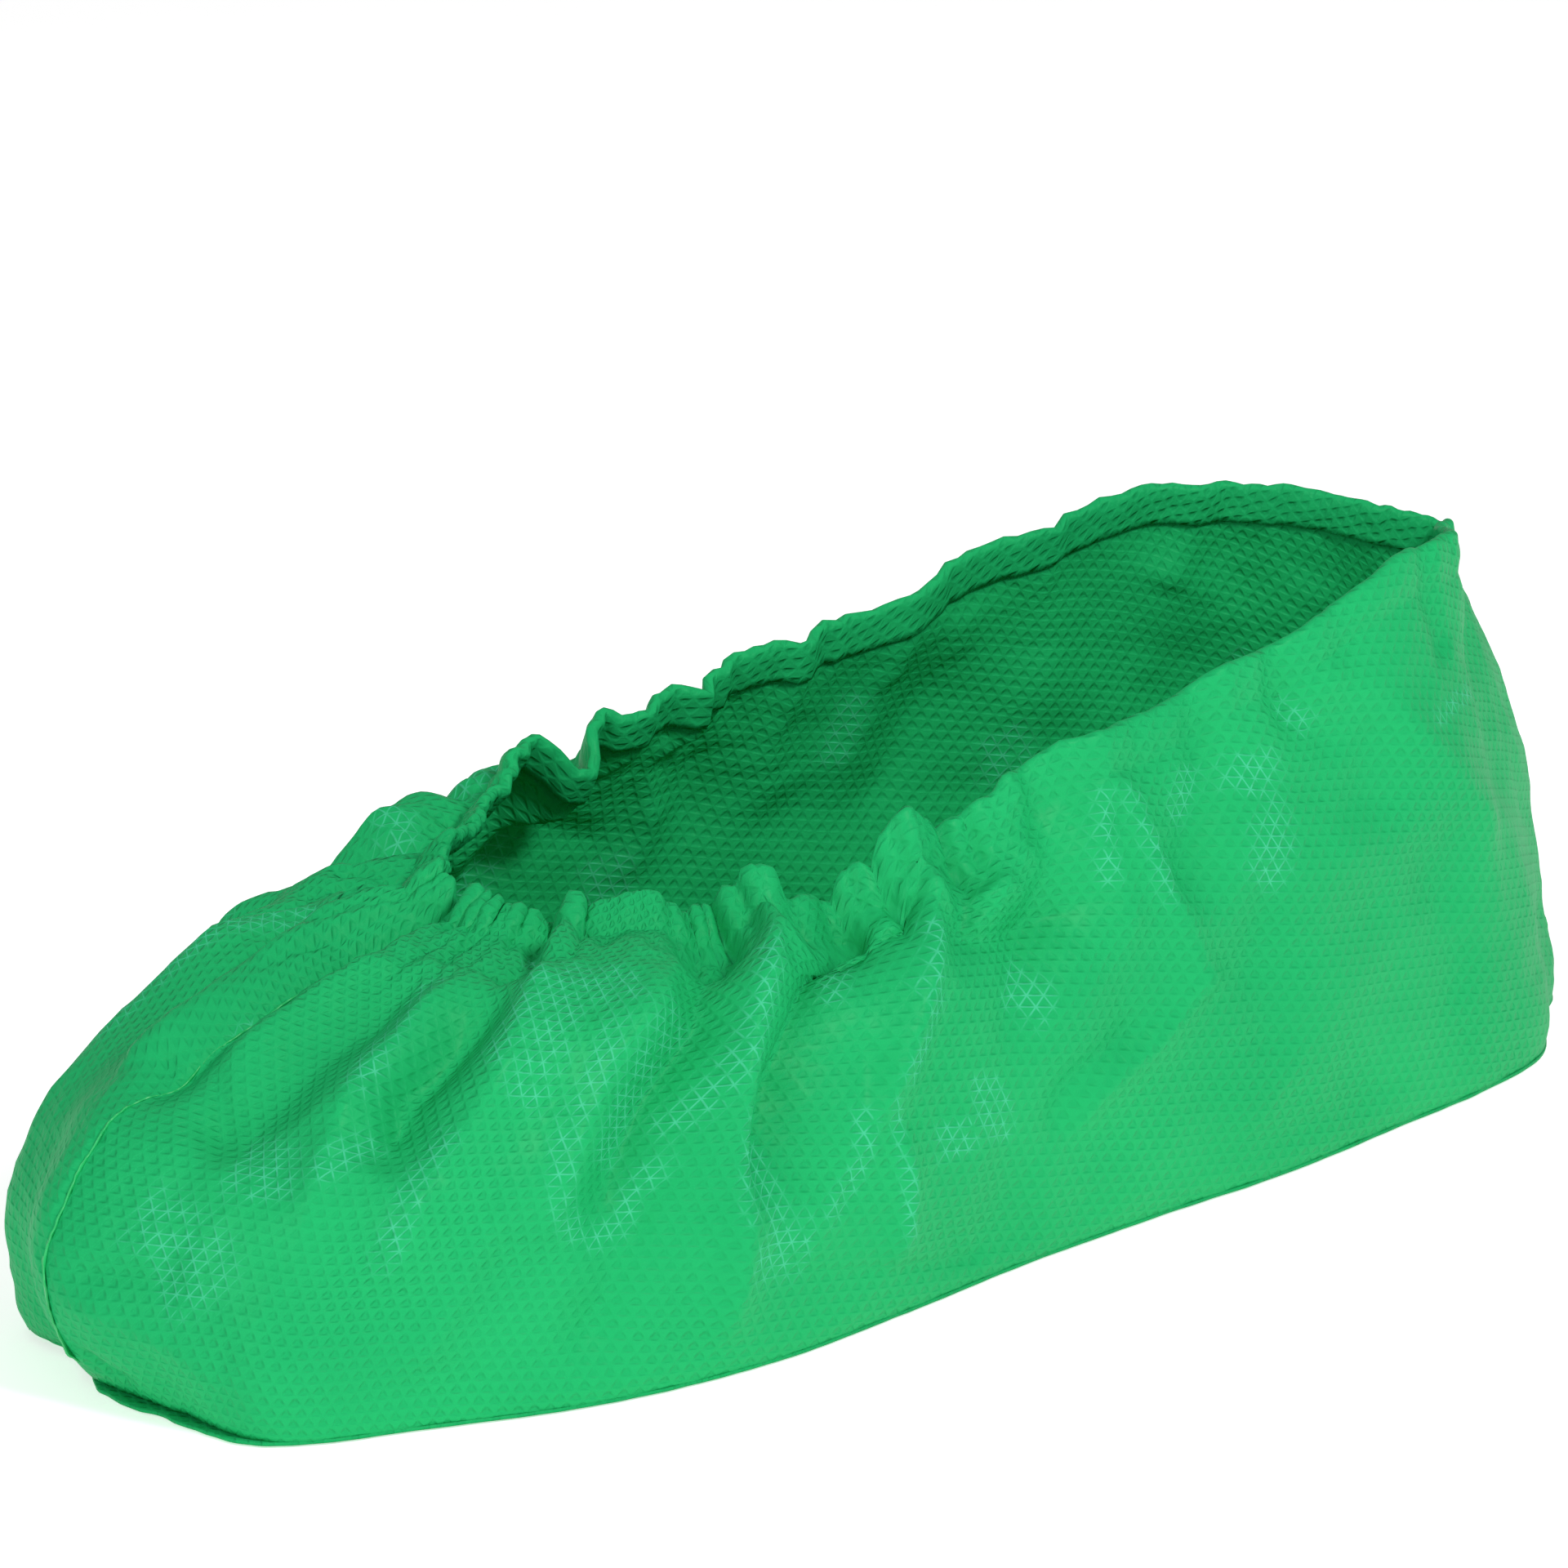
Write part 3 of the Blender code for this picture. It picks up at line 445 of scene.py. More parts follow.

# The film's relief: the listed folds first, then short gathers below the hem, then crumple.
FOLD_REACH = 3.4                          # a fold is nothing past this many of its widths
GATHERS_FROM, GATHERS_TO = 0.165, 0.84    # the part of the way round that the band gathers
CRUMPLE = 34 * MM                         # lengths of the crumple's waves, from long to short
SMALL_CRUMPLE = 15 * MM
CREASING = 11 * MM
PINCHES = 7.5 * MM
BUNCHES = 9.5 * MM                        # length of the bulges below the hem
DEEPEST, HIGHEST = -9.5 * MM, 7.5 * MM
CRIMP_WAVE, CRIMP_HEIGHT = 2.8 * MM, 0.30 * MM
points, facing = smooth_film.reshape(-1, 3), out.reshape(-1, 3)
relief = np.zeros(len(points))
for path, width, depth, sharp, back in CREASES:
    relief += fold_height(points, facing, path, width, depth, sharp, back)

dice = np.random.default_rng(11)
place = GATHERS_FROM
# each gather runs down a little way, at a slant, and is deeper where the hem is ruffled tightly
while place < GATHERS_TO:
    bunched = float(np.interp(place, around, ruffled))
    drop = dice.uniform(0.07, 0.15) + bunched * dice.uniform(0.0, 0.16)
    slant = dice.uniform(-0.005, 0.005)
    fold = (((place, 1.0), (place + slant, 1 - drop / 2), (place + 1.5 * slant, 1 - drop)),
            dice.uniform(0.9, 1.7), -dice.uniform(0.6, 1.5) * (0.25 + bunched), 0.7, 1.0)
    relief += fold_height(points, facing, *fold)
    place += dice.uniform(0.0040, 0.0095) * (1.6 - 0.8 * bunched)

gathered = smooth(0.30, 0.60, share)
near_hem = smooth(0.62, 1.0, up_at)
crumple = (0.60 * ripple(cut_u, cut_v, CRUMPLE, 3)
           + 0.30 * ripple(cut_u, cut_v, SMALL_CRUMPLE, 4)
           - (0.12 + 0.55 * near_hem * gathered) * np.abs(ripple(cut_u, 0.45 * cut_v, PINCHES, 5))
           - 0.20 * np.abs(ripple(cut_u, cut_v, CREASING, 6)))
# the band bunches the film into small bulges with sharp pinches between them
hem_run = np.cumsum(np.linalg.norm(np.diff(smooth_film[:, at_hem], axis=0,
                                           prepend=smooth_film[-1:, at_hem]), axis=-1))
bulge = (np.abs(ripple(hem_run, 0, BUNCHES, 41)) - 0.5)[:, None]
tight = ruffled[:, None]
relief = relief.reshape(round_at.shape) + crumple * MM * smooth(0.0, 0.08, up_at)
relief *= smooth(-0.02, 0.05, up_at)
# where the hem dips, the film below it goes in
relief += 0.5 * (hem_lift - even_lift)[:, None] * smooth(0.86, 1.0, up_at)
relief += 0.8 * MM * bulge * tight * smooth(0.84, 1.0, up_at)
relief[:, at_hem + 1] = relief[:, at_hem]
relief = np.clip(relief, DEEPEST, HIGHEST)
upper_film = smooth_film + out * relief[..., None]

# The hem is drawn down a little wherever a gather draws it in.
hem_dip = hem_lift + 0.3 * np.minimum(relief[:, at_hem], 0)
upper_film += band * (hem_dip[:, None] * smooth(0.70, 1.0, ups))[..., None]
# crimped lower edge over the sole's weld in front of the toe
crimp = ripple(np.cumsum(foot_step), 0, CRIMP_WAVE, 24)[:, None] * (1 - smooth(0, 0.03, ups))
upper_film[..., 2] += CRIMP_HEIGHT * np.abs(crimp) * at_toe

# how pale the embossed lines are, from 0 to 1
pale = np.zeros(len(points))
for path, width in PALE:
    near, miss, along = from_path(points, facing, path, 3 * width * MM)
    ends = smooth(-0.01, 0.12, along) * (1 - smooth(0.88, 1.01, along))
    pale[near] = np.maximum(pale[near], np.exp(-(miss / (width * MM)) ** 4) * ends)
pale = pale.reshape(round_at.shape)


def put(name, data):
    """Puts a mesh, a lamp or a camera into the scene as an object."""
    thing = bpy.data.objects.new(name, data)
    bpy.context.scene.collection.objects.link(thing)
    return thing


def as_piece(name, bm):
    """Puts the mesh that was built in bm into the scene."""
    mesh = bpy.data.meshes.new(name)
    bm.to_mesh(mesh)
    bm.free()
    return put(name, mesh)


def ring_mesh(name, grid, closed=True, cut=None, pale=None):
    """A sheet from a ring of columns, with its flat places as UVs and its pale marks. cut gives
    the flat place of a corner from its face's column and the corner's own column and row."""
    bm = bmesh.new()
    flat_place = bm.loops.layers.uv.new("cut")
    mark = bm.verts.layers.float.new("pale")
    made = [[bm.verts.new(p) for p in line] for line in grid]
    if pale is not None:
        for line, values in zip(made, pale):
            for vert, value in zip(line, values):
                vert[mark] = value
    count = len(made)
    for i in range(count if closed else count - 1):
        k = (i + 1) % count
        for j in range(len(made[i]) - 1):
            face = bm.faces.new((made[i][j], made[k][j], made[k][j + 1], made[i][j + 1]))
            face.smooth = True
            if cut is not None:
                for loop, (c, r) in zip(face.loops, ((i, j), (k, j), (k, j + 1), (i, j + 1))):
                    loop[flat_place].uv = cut(i, c, r)
    return as_piece(name, bm)


def panel_place(face_column, c, r):
    """Flat place of a corner on the panel that the face belongs to."""
    side = 1 if face_column < COLUMNS // 2 else -1
    return panels[side][c][r]


def thicken(piece, thickness, offset=0):
    """Gives a sheet its thickness, to both sides or, with an offset of 1, to its upper side."""
    wall = piece.modifiers.new("Thickness", "SOLIDIFY")
    wall.thickness, wall.offset, wall.use_rim = thickness, offset, True


upper = ring_mesh("upper_film", upper_film, cut=panel_place, pale=pale)
thicken(upper, FILM)


def linear(code):
    """An sRGB hex value as linear red, green, blue and alpha."""
    parts = [int(code[i:i + 2], 16) / 255 for i in (0, 2, 4)]
    return [*(c / 12.92 if c <= 0.04045 else ((c + 0.055) / 1.055) ** 2.4 for c in parts), 1]


def node(tree, kind, settings=None, **links):
    """Adds one node with its settings. A link is an output socket or a value for an input."""
    made = tree.nodes.new(kind)
    for key, value in (settings or {}).items():
        setattr(made, key, value)
    for key, value in links.items():
        slot = int(key[1:]) if key[0] == "i" and key[1:].isdigit() else key.replace("_", " ")
        socket = made.inputs[slot]
        if isinstance(value, bpy.types.NodeSocket):
            tree.links.new(value, socket)
        else:
            socket.default_value = value
    return made


def new_material(name):
    """A material without nodes, and its node tree."""
    mat = bpy.data.materials.new(name)
    mat.use_nodes = True
    mat.node_tree.nodes.clear()
    return mat, mat.node_tree


def embossed_film(name, body, deep, pale_line=None):
    """Polyethylene film, cast in one colour and pressed between rollers. Its triangles catch
    the light as rows of small pits, which are also painted a deeper green as painted shade;
    some light comes through, and in listed patches the edges of the triangles are drawn pale."""
    mat, tree = new_material(name)

    def math_node(operation, a, b=0.0, c=0.0):
        return node(tree, "ShaderNodeMath", {"operation": operation}, i0=a, i1=b, i2=c).outputs[0]

    cut = node(tree, "ShaderNodeUVMap", {"uv_map": "cut"}).outputs[0]
    row = EMBOSS_SIDE * math.sqrt(3) / 2
    # three families of lines at 60 degrees make the triangles
    across = []
    for degrees in (90, 210, 330):
        direction = (math.cos(math.radians(degrees)) / row, math.sin(math.radians(degrees)) / row, 0)
        dot = node(tree, "ShaderNodeVectorMath", {"operation": "DOT_PRODUCT"}, i0=cut, i1=direction)
        across.append(math_node("FRACT", dot.outputs["Value"]))
    waves = [math_node("SINE", math_node("MULTIPLY", a, 2 * math.pi)) for a in across]
    cells = math_node("ADD", math_node("ADD", waves[0], waves[1]), waves[2])
    inner = math_node("MINIMUM", math_node("MINIMUM", across[0], across[1]), across[2])
    outer = math_node("MAXIMUM", math_node("MAXIMUM", across[0], across[1]), across[2])
    edge = math_node("MINIMUM", inner, math_node("SUBTRACT", 1.0, outer))
    line = node(tree, "ShaderNodeMapRange", {"interpolation_type": "SMOOTHSTEP"}, Value=edge,
                From_Min=0.015, From_Max=0.12, To_Min=1.0, To_Max=0.0).outputs[0]
    # every other triangle is pressed in, softly
    pit = node(tree, "ShaderNodeMapRange", {"interpolation_type": "SMOOTHSTEP"}, Value=cells,
               From_Min=-1.0, From_Max=2.4, To_Min=0.0, To_Max=1.0).outputs[0]
    # the rollers press unevenly
    uneven = node(tree, "ShaderNodeTexNoise", Vector=cut, Scale=1 / (26 * MM), Detail=2.0)
    press = node(tree, "ShaderNodeMapRange", Value=uneven.outputs[0], From_Min=0.35, From_Max=0.65,
                 To_Min=0.55, To_Max=1.0).outputs[0]
    stamped = math_node("SUBTRACT", math_node("MULTIPLY", line, 0.10), math_node("MULTIPLY", pit, press))
    # the film's own grain, drawn coarser than it is so that it shows, and dents from packing
    fine = node(tree, "ShaderNodeTexNoise", Vector=cut, Scale=1 / (0.9 * MM), Detail=3.0)
    soft = node(tree, "ShaderNodeTexNoise", Vector=cut, Scale=1 / (5.5 * MM), Detail=3.0,
                Distortion=0.8)
    height = math_node("MULTIPLY_ADD", fine.outputs[0], 0.30, stamped)
    emboss = node(tree, "ShaderNodeBump", Height=height, Distance=EMBOSS_DEPTH, Strength=1.0)
    dents = node(tree, "ShaderNodeBump", Height=soft.outputs[0], Distance=1.1 * MM, Strength=0.35,
                 Normal=emboss.outputs[0])

    # colour: thick and thin places vary a little, and the pits are painted a deeper green, painted shade in
    # the recesses
    tone = node(tree, "ShaderNodeTexNoise", Vector=cut, Scale=1 / (38 * MM), Detail=3.0)
    mixed = node(tree, "ShaderNodeMix", {"data_type": "RGBA"}, Factor=tone.outputs[0])
    mixed.inputs[6].default_value = linear(deep)
    mixed.inputs[7].default_value = linear(body)
    shaded = node(tree, "ShaderNodeMix", {"data_type": "RGBA"},
                  Factor=math_node("MULTIPLY", pit, 0.40))
    tree.links.new(mixed.outputs[2], shaded.inputs[6])
    shaded.inputs[7].default_value = linear(deep)
    colour = shaded.outputs[2]
    if pale_line:
        where = node(tree, "ShaderNodeAttribute", {"attribute_name": "pale"}).outputs["Fac"]
        thin = node(tree, "ShaderNodeMapRange", {"interpolation_type": "SMOOTHSTEP"}, Value=edge,
                    From_Min=0.02, From_Max=0.10, To_Min=1.0, To_Max=0.0).outputs[0]
        broken = node(tree, "ShaderNodeTexNoise", Vector=cut, Scale=1 / (2.6 * MM), Detail=2.0)
        gate = node(tree, "ShaderNodeMapRange", Value=broken.outputs[0], From_Min=0.32,
                    From_Max=0.54, To_Min=0.0, To_Max=1.0).outputs[0]
        marked = math_node("MULTIPLY", math_node("MULTIPLY", where, thin), gate)
        struck = node(tree, "ShaderNodeMix", {"data_type": "RGBA"},
                      Factor=math_node("MULTIPLY", marked, 0.58))
        tree.links.new(colour, struck.inputs[6])
        struck.inputs[7].default_value = linear(pale_line)
        colour = struck.outputs[2]

    shader = node(tree, "ShaderNodeBsdfPrincipled", Base_Color=colour, Roughness=0.45, IOR=1.51,
                  Specular_IOR_Level=0.06, Coat_Weight=0.02, Coat_Roughness=0.25,
                  Normal=dents.outputs[0])
    glow = node(tree, "ShaderNodeBsdfTranslucent", Color=colour, Normal=dents.outputs[0])
    both = node(tree, "ShaderNodeMixShader", i0=0.26)
    tree.links.new(shader.outputs[0], both.inputs[1])
    tree.links.new(glow.outputs[0], both.inputs[2])
    node(tree, "ShaderNodeOutputMaterial", Surface=both.outputs[0])
    return mat


upper.data.materials.append(embossed_film("embossed_film", FILM_GREEN, FILM_DEEP_AND_PIT_SHADE, FILM_PALE))
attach(upper, "root")
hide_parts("upper")

# The sole. One more panel of the same film, a little heavier, lies flat on the floor and is
# welded to the upper all round. At the toe the weld stands out as a crimped edge.
SOLE_GREEN = "22C070"
# the sole's deeper green serves where the panel is thick, and as painted shade in its pressed-in pits
SOLE_DEEP_AND_PIT_SHADE = "16A862"
SOLE_RINGS = 20            # steps from the edge to the middle line
SOLE_CRIMP = 0.35 * MM     # how ragged the weld edge is
TURNED_IN = 0.75 * MM      # how far the weld is turned in behind the toe
TOE_IN = 1.2 * MM          # the same at the toe, and what more it is under the toe's right half
RIGHT_TOE_IN = 3.0 * MM
RAGGED_SHORT, RAGGED_LONG = 4.8 * MM, 12 * MM      # lengths of the weld edge's waves
SLACK_LONG, SLACK_SHORT = 50 * MM, 21 * MM         # and of the slack panel's wrinkles
WELD_FLAT, ALL_SLACK = 4 * MM, 18 * MM             # the wrinkles start and are full this far in

edge, edge_out = sole_edge(around)
foot_run = np.cumsum(foot_step)
ragged = SOLE_CRIMP * (0.4 * ripple(foot_run, 0, RAGGED_SHORT, 21)
                       + 0.8 * ripple(foot_run, 0, RAGGED_LONG, 22))
ragged *= 0.25 + 0.75 * smooth(0.80, 0.93, sides(around)[0])
# behind the toe and under its right half the weld is turned in, out of sight
behind = TURNED_IN + section(sides(around)[0])[:, LEDGE] * TOE_LEDGE
in_front = TOE_IN + RIGHT_TOE_IN * smooth(0.490, 0.515, around)
inset = behind * (1 - at_toe[:, 0]) + in_front * at_toe[:, 0]
edge = edge + edge_out * (np.minimum(ragged, 0.6 * SOLE_CRIMP) - inset)[:, None]
# rings run inwards to a middle line that stops short of the heel and the toe
middle = (edge[:, 0] + edge[-np.arange(COLUMNS), 0]) / 2
stops_short = 0.09 * SOLE_LENGTH
middle = np.clip(middle, middle.min() + stops_short, middle.max() - stops_short)


def sole_lift(x, y, inset):
    """The panel's slack: low wrinkles that rise off the floor, flat near the weld."""
    lift = 0.55 * np.abs(ripple(x, y, SLACK_LONG, 31)) + 0.30 * np.abs(ripple(x, y, SLACK_SHORT, 32))
    return MM * lift * smooth(WELD_FLAT, ALL_SLACK, inset)


bm = bmesh.new()
sole_cut = bm.loops.layers.uv.new("cut")
spine = {x: bm.verts.new((x, 0, float(sole_lift(x, 0, 1)))) for x in sorted(set(middle.tolist()))}
sole_rows = []
for start, x in zip(edge, middle.tolist()):
    steps = np.linspace(0, 1, SOLE_RINGS, endpoint=False)
    ring = start + (np.array([x, 0]) - start) * steps[:, None]
    lifts = sole_lift(ring[:, 0], ring[:, 1], np.linalg.norm(ring - start, axis=1))
    sole_rows.append([bm.verts.new((*p, lift)) for p, lift in zip(ring, lifts)] + [spine[x]])
for i, near in enumerate(sole_rows):
    far = sole_rows[(i + 1) % COLUMNS]
    for j in range(SOLE_RINGS):
        corners = [near[j], near[j + 1], far[j + 1], far[j]]
        face = bm.faces.new(dict.fromkeys(corners))
        face.smooth = True
        for loop in face.loops:
            loop[sole_cut].uv = loop.vert.co.xy
sole = as_piece("sole_film", bm)
thicken(sole, SOLE_FILM, offset=1)
sole.data.materials.append(embossed_film("embossed_sole_film", SOLE_GREEN, SOLE_DEEP_AND_PIT_SHADE))
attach(sole, "root")
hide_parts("sole")

# The hem. The upper's top edge is folded down on itself and welded into a channel, which the
# rubber band inside draws into small ruffles over the instep and low scallops at the ankle.
HEM_HOLLOW = 1.4 * MM      # room between the hem's two layers
HEM_START = -0.9 * MM      # where the outer layer parts from the film
HEM_FILM = 0.3 * MM        # the film lies flatter here, drawn over the fold
RUFFLE_SHORT, RUFFLE_LONG, SCALLOP = 3.6 * MM, 5 * MM, 16 * MM     # lengths of the hem's waves
RUFFLE_RISE = 4 * MM       # height above the hem's foot where they are full
hem_leg = (HEM_HOLLOW + FILM) / 2
hem_foot = upper_film[:, at_hem]
hem_up = unit(band[:, at_hem])
hem_turn = np.roll(hem_foot, -1, axis=0) - np.roll(hem_foot, 1, axis=0)
hem_out = unit(np.cross(hem_up, hem_turn))
# height up the band, distance out: up the outer layer, over the fold and down the inner one
hem_profile = [(h * MM, hem_leg * float(smooth(-1.3, 4.6, h)))
               for h in (-0.9, -0.2, 0.5, 1.3, 2.1, 3.0, 3.9, 4.8, 5.7)]
hem_profile += [(HEM_BAND - hem_leg + hem_leg * math.sin(t), hem_leg * math.cos(t))
                for t in np.radians((5, 25, 45, 65, 85, 105, 125, 145, 165))]
hem_profile += [(h * MM, -hem_leg) for h in (5.6, 4.4, 3.2, 2.0, 0.8)]


def ruffle(height):
    """How far the ruffles carry the hem, and the band in it, at a height above its foot."""
    wave = (bulge * (0.12 + 0.68 * tight)
            + ripple(hem_run, 0.5 * height, RUFFLE_SHORT, 42)[:, None] * (0.08 + 0.26 * tight))
    lift = (bulge * (0.15 + 0.55 * tight)
            + ripple(hem_run, 0, RUFFLE_LONG, 43)[:, None] * (0.08 + 0.22 * tight)
            + ripple(hem_run, 0, SCALLOP, 44)[:, None] * 0.3)
    return (hem_out * wave + hem_up * lift) * MM * smooth(0.0, RUFFLE_RISE, height)


hem_length = np.concatenate([[0], np.cumsum(np.linalg.norm(np.diff(hem_profile, axis=0), axis=1))])
hem_grid = np.zeros((COLUMNS, len(hem_profile), 3))
for j, (height, away) in enumerate(hem_profile):
    hem_grid[:, j] = hem_foot + hem_up * height + hem_out * away + ruffle(height)
# below its own foot the outer layer lies in the film that it grows out of
below = unit(upper_film[:, at_hem - 1] - hem_foot)
hem_grid[:, 0] = hem_foot - below * HEM_START + hem_out * hem_profile[0][1]


def hem_place(face_column, c, r):
    """Flat place on the panel, carried on over the fold so that the embossing runs through."""
    panel = panels[1 if face_column < COLUMNS // 2 else -1][c]
    upward = panel[at_hem] - panel[at_hem - 1]
    return panel[at_hem] + upward / np.linalg.norm(upward) * (hem_length[r] + HEM_START)


hem = ring_mesh("hem_film", hem_grid, cut=hem_place)
thicken(hem, HEM_FILM)
hem.data.materials.append(embossed_film("embossed_hem_film", FILM_GREEN, FILM_DEEP_AND_PIT_SHADE))
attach(hem, "root")
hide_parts("hem_casing")

# The band. A flat strip of natural rubber, undyed, lies loose in the hem's channel. It shows
# only where the hem opens a little from inside.
RUBBER_PALE = "EFEADB"
RUBBER_DARK = "DCD5C0"
ELASTIC_WIDTH = 2.6 * MM
ELASTIC_THICK = 0.6 * MM
BAND_ROWS = 5              # the mesh's rows across the band
top = HEM_BAND - FILM - (HEM_HOLLOW - ELASTIC_THICK) / 2 - 2 * CLEAR
band_grid = np.stack([hem_foot + hem_up * height + ruffle(height)
                      for height in np.linspace(top - ELASTIC_WIDTH, top, BAND_ROWS)], axis=1)
band_cut = np.stack(np.meshgrid(hem_run, np.linspace(0, ELASTIC_WIDTH, BAND_ROWS), indexing="ij"), -1)


def natural_rubber():
    """Natural rubber strip, calendered and slit: matt, creamy, with faint lines along it."""
    mat, tree = new_material("natural_rubber")
    cut = node(tree, "ShaderNodeUVMap", {"uv_map": "cut"}).outputs[0]
    stretched = node(tree, "ShaderNodeMapping", Vector=cut, Scale=(0.05, 1, 1)).outputs[0]
    streaks = node(tree, "ShaderNodeTexNoise", Vector=stretched, Scale=1 / (0.4 * MM), Detail=2.0)
    mixed = node(tree, "ShaderNodeMix", {"data_type": "RGBA"}, Factor=streaks.outputs[0])
    mixed.inputs[6].default_value = linear(RUBBER_DARK)
    mixed.inputs[7].default_value = linear(RUBBER_PALE)
    lines = node(tree, "ShaderNodeBump", Height=streaks.outputs[0], Distance=0.1 * MM, Strength=0.5)
    shader = node(tree, "ShaderNodeBsdfPrincipled", Base_Color=mixed.outputs[2], Roughness=0.65,
                  IOR=1.52, Normal=lines.outputs[0])
    node(tree, "ShaderNodeOutputMaterial", Surface=shader.outputs[0])
    return mat


elastic = ring_mesh("rubber_band", band_grid, cut=lambda i, c, r: band_cut[c][r])
thicken(elastic, ELASTIC_THICK)
elastic.data.materials.append(natural_rubber())
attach(elastic, "root")
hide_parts("elastic_band")

# The two welded seams. The panels' edges are melted together between hot bars, which leaves a
# narrow crimped edge standing on the film, ragged where it was cut, up the toe and the heel.
# both weld greens are darker than the film's green: painted shade of the dark line along the crimped edge
SEAM_GREEN = "16BB68"
SEAM_DEEP = "0EA351"
SEAM_THICK = 0.405 * MM
RIB_PITCH = 2.2 * MM       # distance between the teeth of the hot bar
SEAM_STEP = 0.45 * MM      # the mesh's steps along a seam
SEAM_RUNGS = 3             # and across it
TORN_LONG, TORN_SHORT, SWAY = 4.5 * MM, 1.7 * MM, 10 * MM      # lengths of its edge's waves


def welded_seam(name, column_index, low, high, stands, lean, pressed, seed):
    """A crimped strip on the film's own line between two heights, as shares of the film's, its
    outer edge ragged and bent over. pressed is how flat its upper half is, from 0 to 1."""
    keep = (ups >= low) & (ups <= high)
    line = upper_film[column_index][keep].copy()
    away = outward(upper_film)[column_index][keep].copy()
    line[:, 1], away[:, 1] = 0, 0
    away = unit(away)
    run = np.concatenate([[0], np.cumsum(np.linalg.norm(np.diff(line, axis=0), axis=-1))])
    fine = np.linspace(0, run[-1], int(run[-1] / SEAM_STEP))
    line = np.stack([np.interp(fine, run, line[:, k]) for k in range(3)], -1)
    away = unit(np.stack([np.interp(fine, run, away[:, k]) for k in range(3)], -1))
    ends = np.minimum(1, np.minimum(fine, fine[-1] - fine) / (3 * MM))
    tall = stands * (0.62 + 0.22 * ripple(fine, 0, TORN_LONG, seed)
                     + 0.16 * ripple(fine, 0, TORN_SHORT, seed + 1))
    tall = np.clip(tall, 0.25 * stands, stands) * (0.35 + 0.65 * ends)
    tall *= 1 - pressed * smooth(0.42, 0.56, fine / fine[-1])
    sway = 0.35 * MM * ripple(fine, 0, SWAY, seed + 2) + lean * tall
    grid = []
    for t in np.linspace(0, 1, SEAM_RUNGS + 1):
        p = line + away * (FILM * 0.4 + tall * t)[:, None]
        p[:, 1] = sway * t ** 1.5
        grid.append(p)
    piece = ring_mesh(name, np.stack(grid, axis=1), closed=False,
                      cut=lambda i, c, r: (0.8 * MM * r, fine[c]))
    thicken(piece, SEAM_THICK)
    return piece


def welded_film(name):
    """Film melted together by a toothed hot bar: glossier, with fine ribs across the weld."""
    mat, tree = new_material(name)
    cut = node(tree, "ShaderNodeUVMap", {"uv_map": "cut"}).outputs[0]
    # a wave texture repeats every tenth of pi at scale 1
    ribs = node(tree, "ShaderNodeTexWave", {"bands_direction": "Y"}, Vector=cut,
                Scale=0.1 * math.pi / RIB_PITCH, Distortion=1.5, Detail=2.0)
    blotch = node(tree, "ShaderNodeTexNoise", Vector=cut, Scale=1 / (2.5 * MM), Detail=2.0)
    mixed = node(tree, "ShaderNodeMix", {"data_type": "RGBA"}, Factor=blotch.outputs[0])
    mixed.inputs[6].default_value = linear(SEAM_DEEP)
    mixed.inputs[7].default_value = linear(SEAM_GREEN)
    teeth = node(tree, "ShaderNodeBump", Height=ribs.outputs[0], Distance=0.2 * MM, Strength=0.7)
    shader = node(tree, "ShaderNodeBsdfPrincipled", Base_Color=mixed.outputs[2], Roughness=0.42,
                  IOR=1.51, Coat_Weight=0.05, Coat_Roughness=0.25, Normal=teeth.outputs[0])
    node(tree, "ShaderNodeOutputMaterial", Surface=shader.outputs[0])
    return mat


weld_finish = welded_film("welded_film")
toe_seam = welded_seam("toe_weld", COLUMNS // 2, low=0.05, high=0.93, stands=0.8 * MM,
                       lean=0.5, pressed=0.85, seed=51)
heel_seam = welded_seam("heel_weld", 0, low=0.02, high=0.93, stands=0.7 * MM,
                        lean=0.4, pressed=0.3, seed=61)
for piece, replaced in ((toe_seam, "toe_seam"), (heel_seam, "heel_seam")):
    piece.data.materials.append(weld_finish)
    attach(piece, "root")
    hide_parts(replaced)

# The floor. A plain board painted matt white, so large that its edge is never seen. It glows a
# little, as a floor that is lit from all round, so that the shadows stay light.
FLOOR_WHITE, FLOOR_GREY = "FDFDFD", "F8F8F8"
FLOOR_GLOW = 0.50
FLOOR_DROP = 0.4 * MM      # how far the floor lies below the sole
FLOOR_REACH = 4.0
PAINT_PATCH = 133 * MM     # size of the paint's uneven places
floor_corners = [(x * FLOOR_REACH, y * FLOOR_REACH, -FLOOR_DROP)
                 for x, y in ((-1, -1), (1, -1), (1, 1), (-1, 1))]
floor_mesh = bpy.data.meshes.new("floor")
floor_mesh.from_pydata(floor_corners, [], [(0, 1, 2, 3)])
floor = put("floor", floor_mesh)
paint = bpy.data.materials.new("matt_white_paint")
paint.use_nodes = True
tree = paint.node_tree
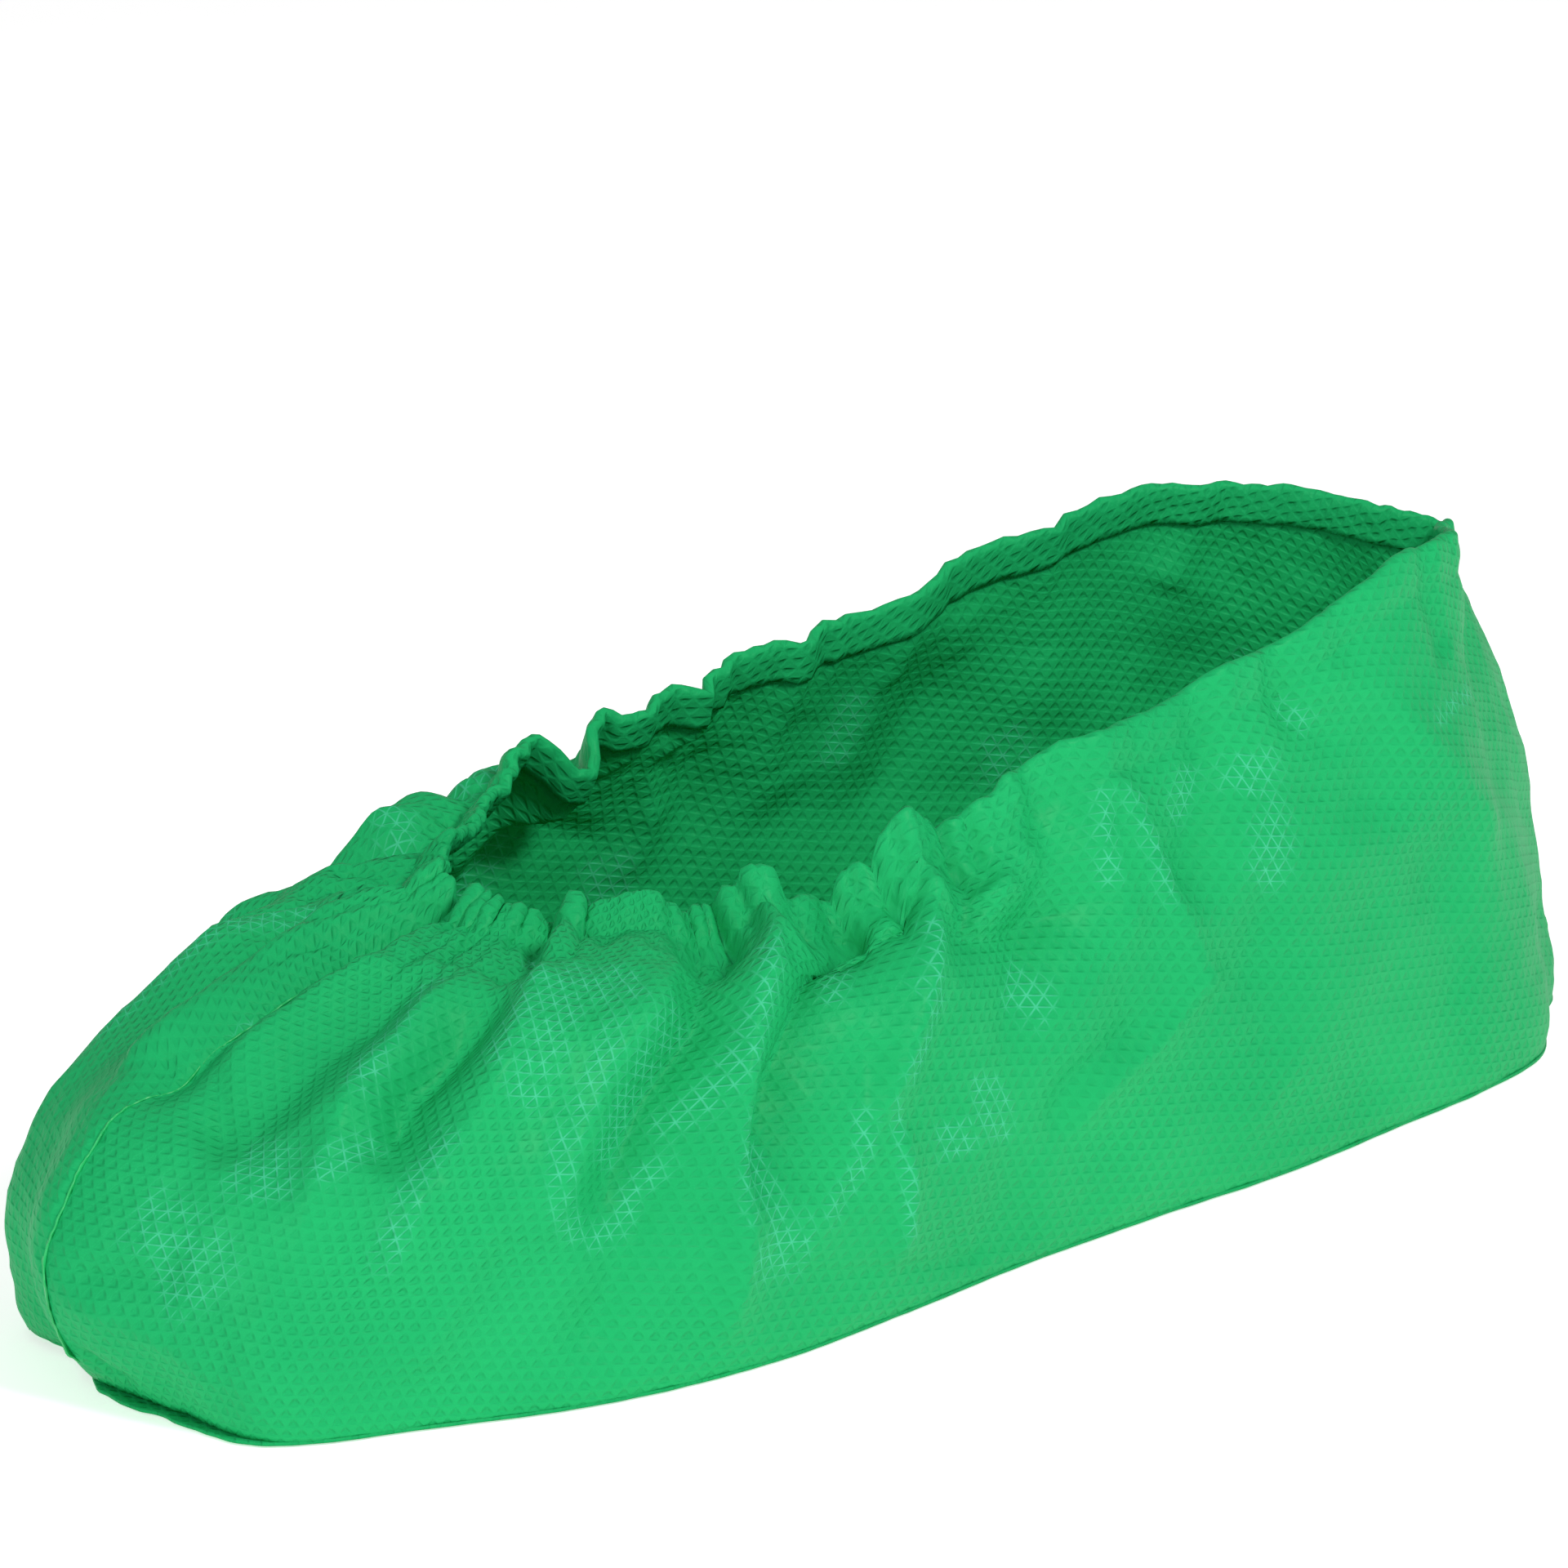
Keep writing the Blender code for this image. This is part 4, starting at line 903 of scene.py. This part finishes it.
# the roller leaves the paint a touch uneven
grain = node(tree, "ShaderNodeTexNoise", Scale=2 * FLOOR_REACH / PAINT_PATCH, Detail=3.0)
shade = node(tree, "ShaderNodeMix", {"data_type": "RGBA"}, Factor=grain.outputs[0])
shade.inputs[6].default_value = linear(FLOOR_GREY)
shade.inputs[7].default_value = linear(FLOOR_WHITE)
painted = tree.nodes["Principled BSDF"]
tree.links.new(shade.outputs[2], painted.inputs["Base Color"])
painted.inputs["Roughness"].default_value = 0.9
painted.inputs["Emission Color"].default_value = (1, 1, 1, 1)
painted.inputs["Emission Strength"].default_value = FLOOR_GLOW
floor.data.materials.append(paint)

# Light: a white room, one soft lamp above the camera's right shoulder, which shows the folds,
# and a weaker one that opens up the toe.
ROOM_LIGHT = 0.40
LIT_PLACE = (0, 0, 30 * MM)
world = bpy.data.worlds.new("white_room")
bpy.context.scene.world = world
world.use_nodes = True
room = world.node_tree.nodes["Background"]
room.inputs["Color"].default_value = (1, 1, 1, 1)
room.inputs["Strength"].default_value = ROOM_LIGHT


def soft_lamp(name, place, size, power):
    """A square lamp that shines at the shoe cover."""
    lamp = bpy.data.lights.new(name, "AREA")
    lamp.size, lamp.energy = size, power
    lamp_object = put(name, lamp)
    lamp_object.location = place
    beam = Vector(LIT_PLACE) - Vector(place)
    lamp_object.rotation_euler = beam.to_track_quat("-Z", "Y").to_euler()


soft_lamp("key_lamp", place=(0.05, 1.40, 1.20), size=0.36, power=18)
soft_lamp("fill_lamp", place=(1.7, 0.4, 0.9), size=0.8, power=10)

# The camera stands in front of the toe on its left side and looks a little down.
VIEW_TURN = math.radians(41.25)      # from the side view towards the toe
VIEW_HEIGHT = math.radians(15)
VIEW_DISTANCE = 1.3
SENSOR_MM, LENS_MM = 36, 178.2
aim = Vector((17.7 * MM, 0, 73.9 * MM))
back = Vector((math.sin(VIEW_TURN) * math.cos(VIEW_HEIGHT), math.cos(VIEW_TURN) * math.cos(VIEW_HEIGHT),
               math.sin(VIEW_HEIGHT)))
camera = put("camera", bpy.data.cameras.new("camera"))
camera.data.sensor_width, camera.data.lens = SENSOR_MM, LENS_MM
camera.location = aim + back * VIEW_DISTANCE
camera.rotation_euler = (-back).to_track_quat("-Z", "Y").to_euler()
bpy.context.scene.camera = camera
bpy.context.scene.view_settings.view_transform = "Standard"
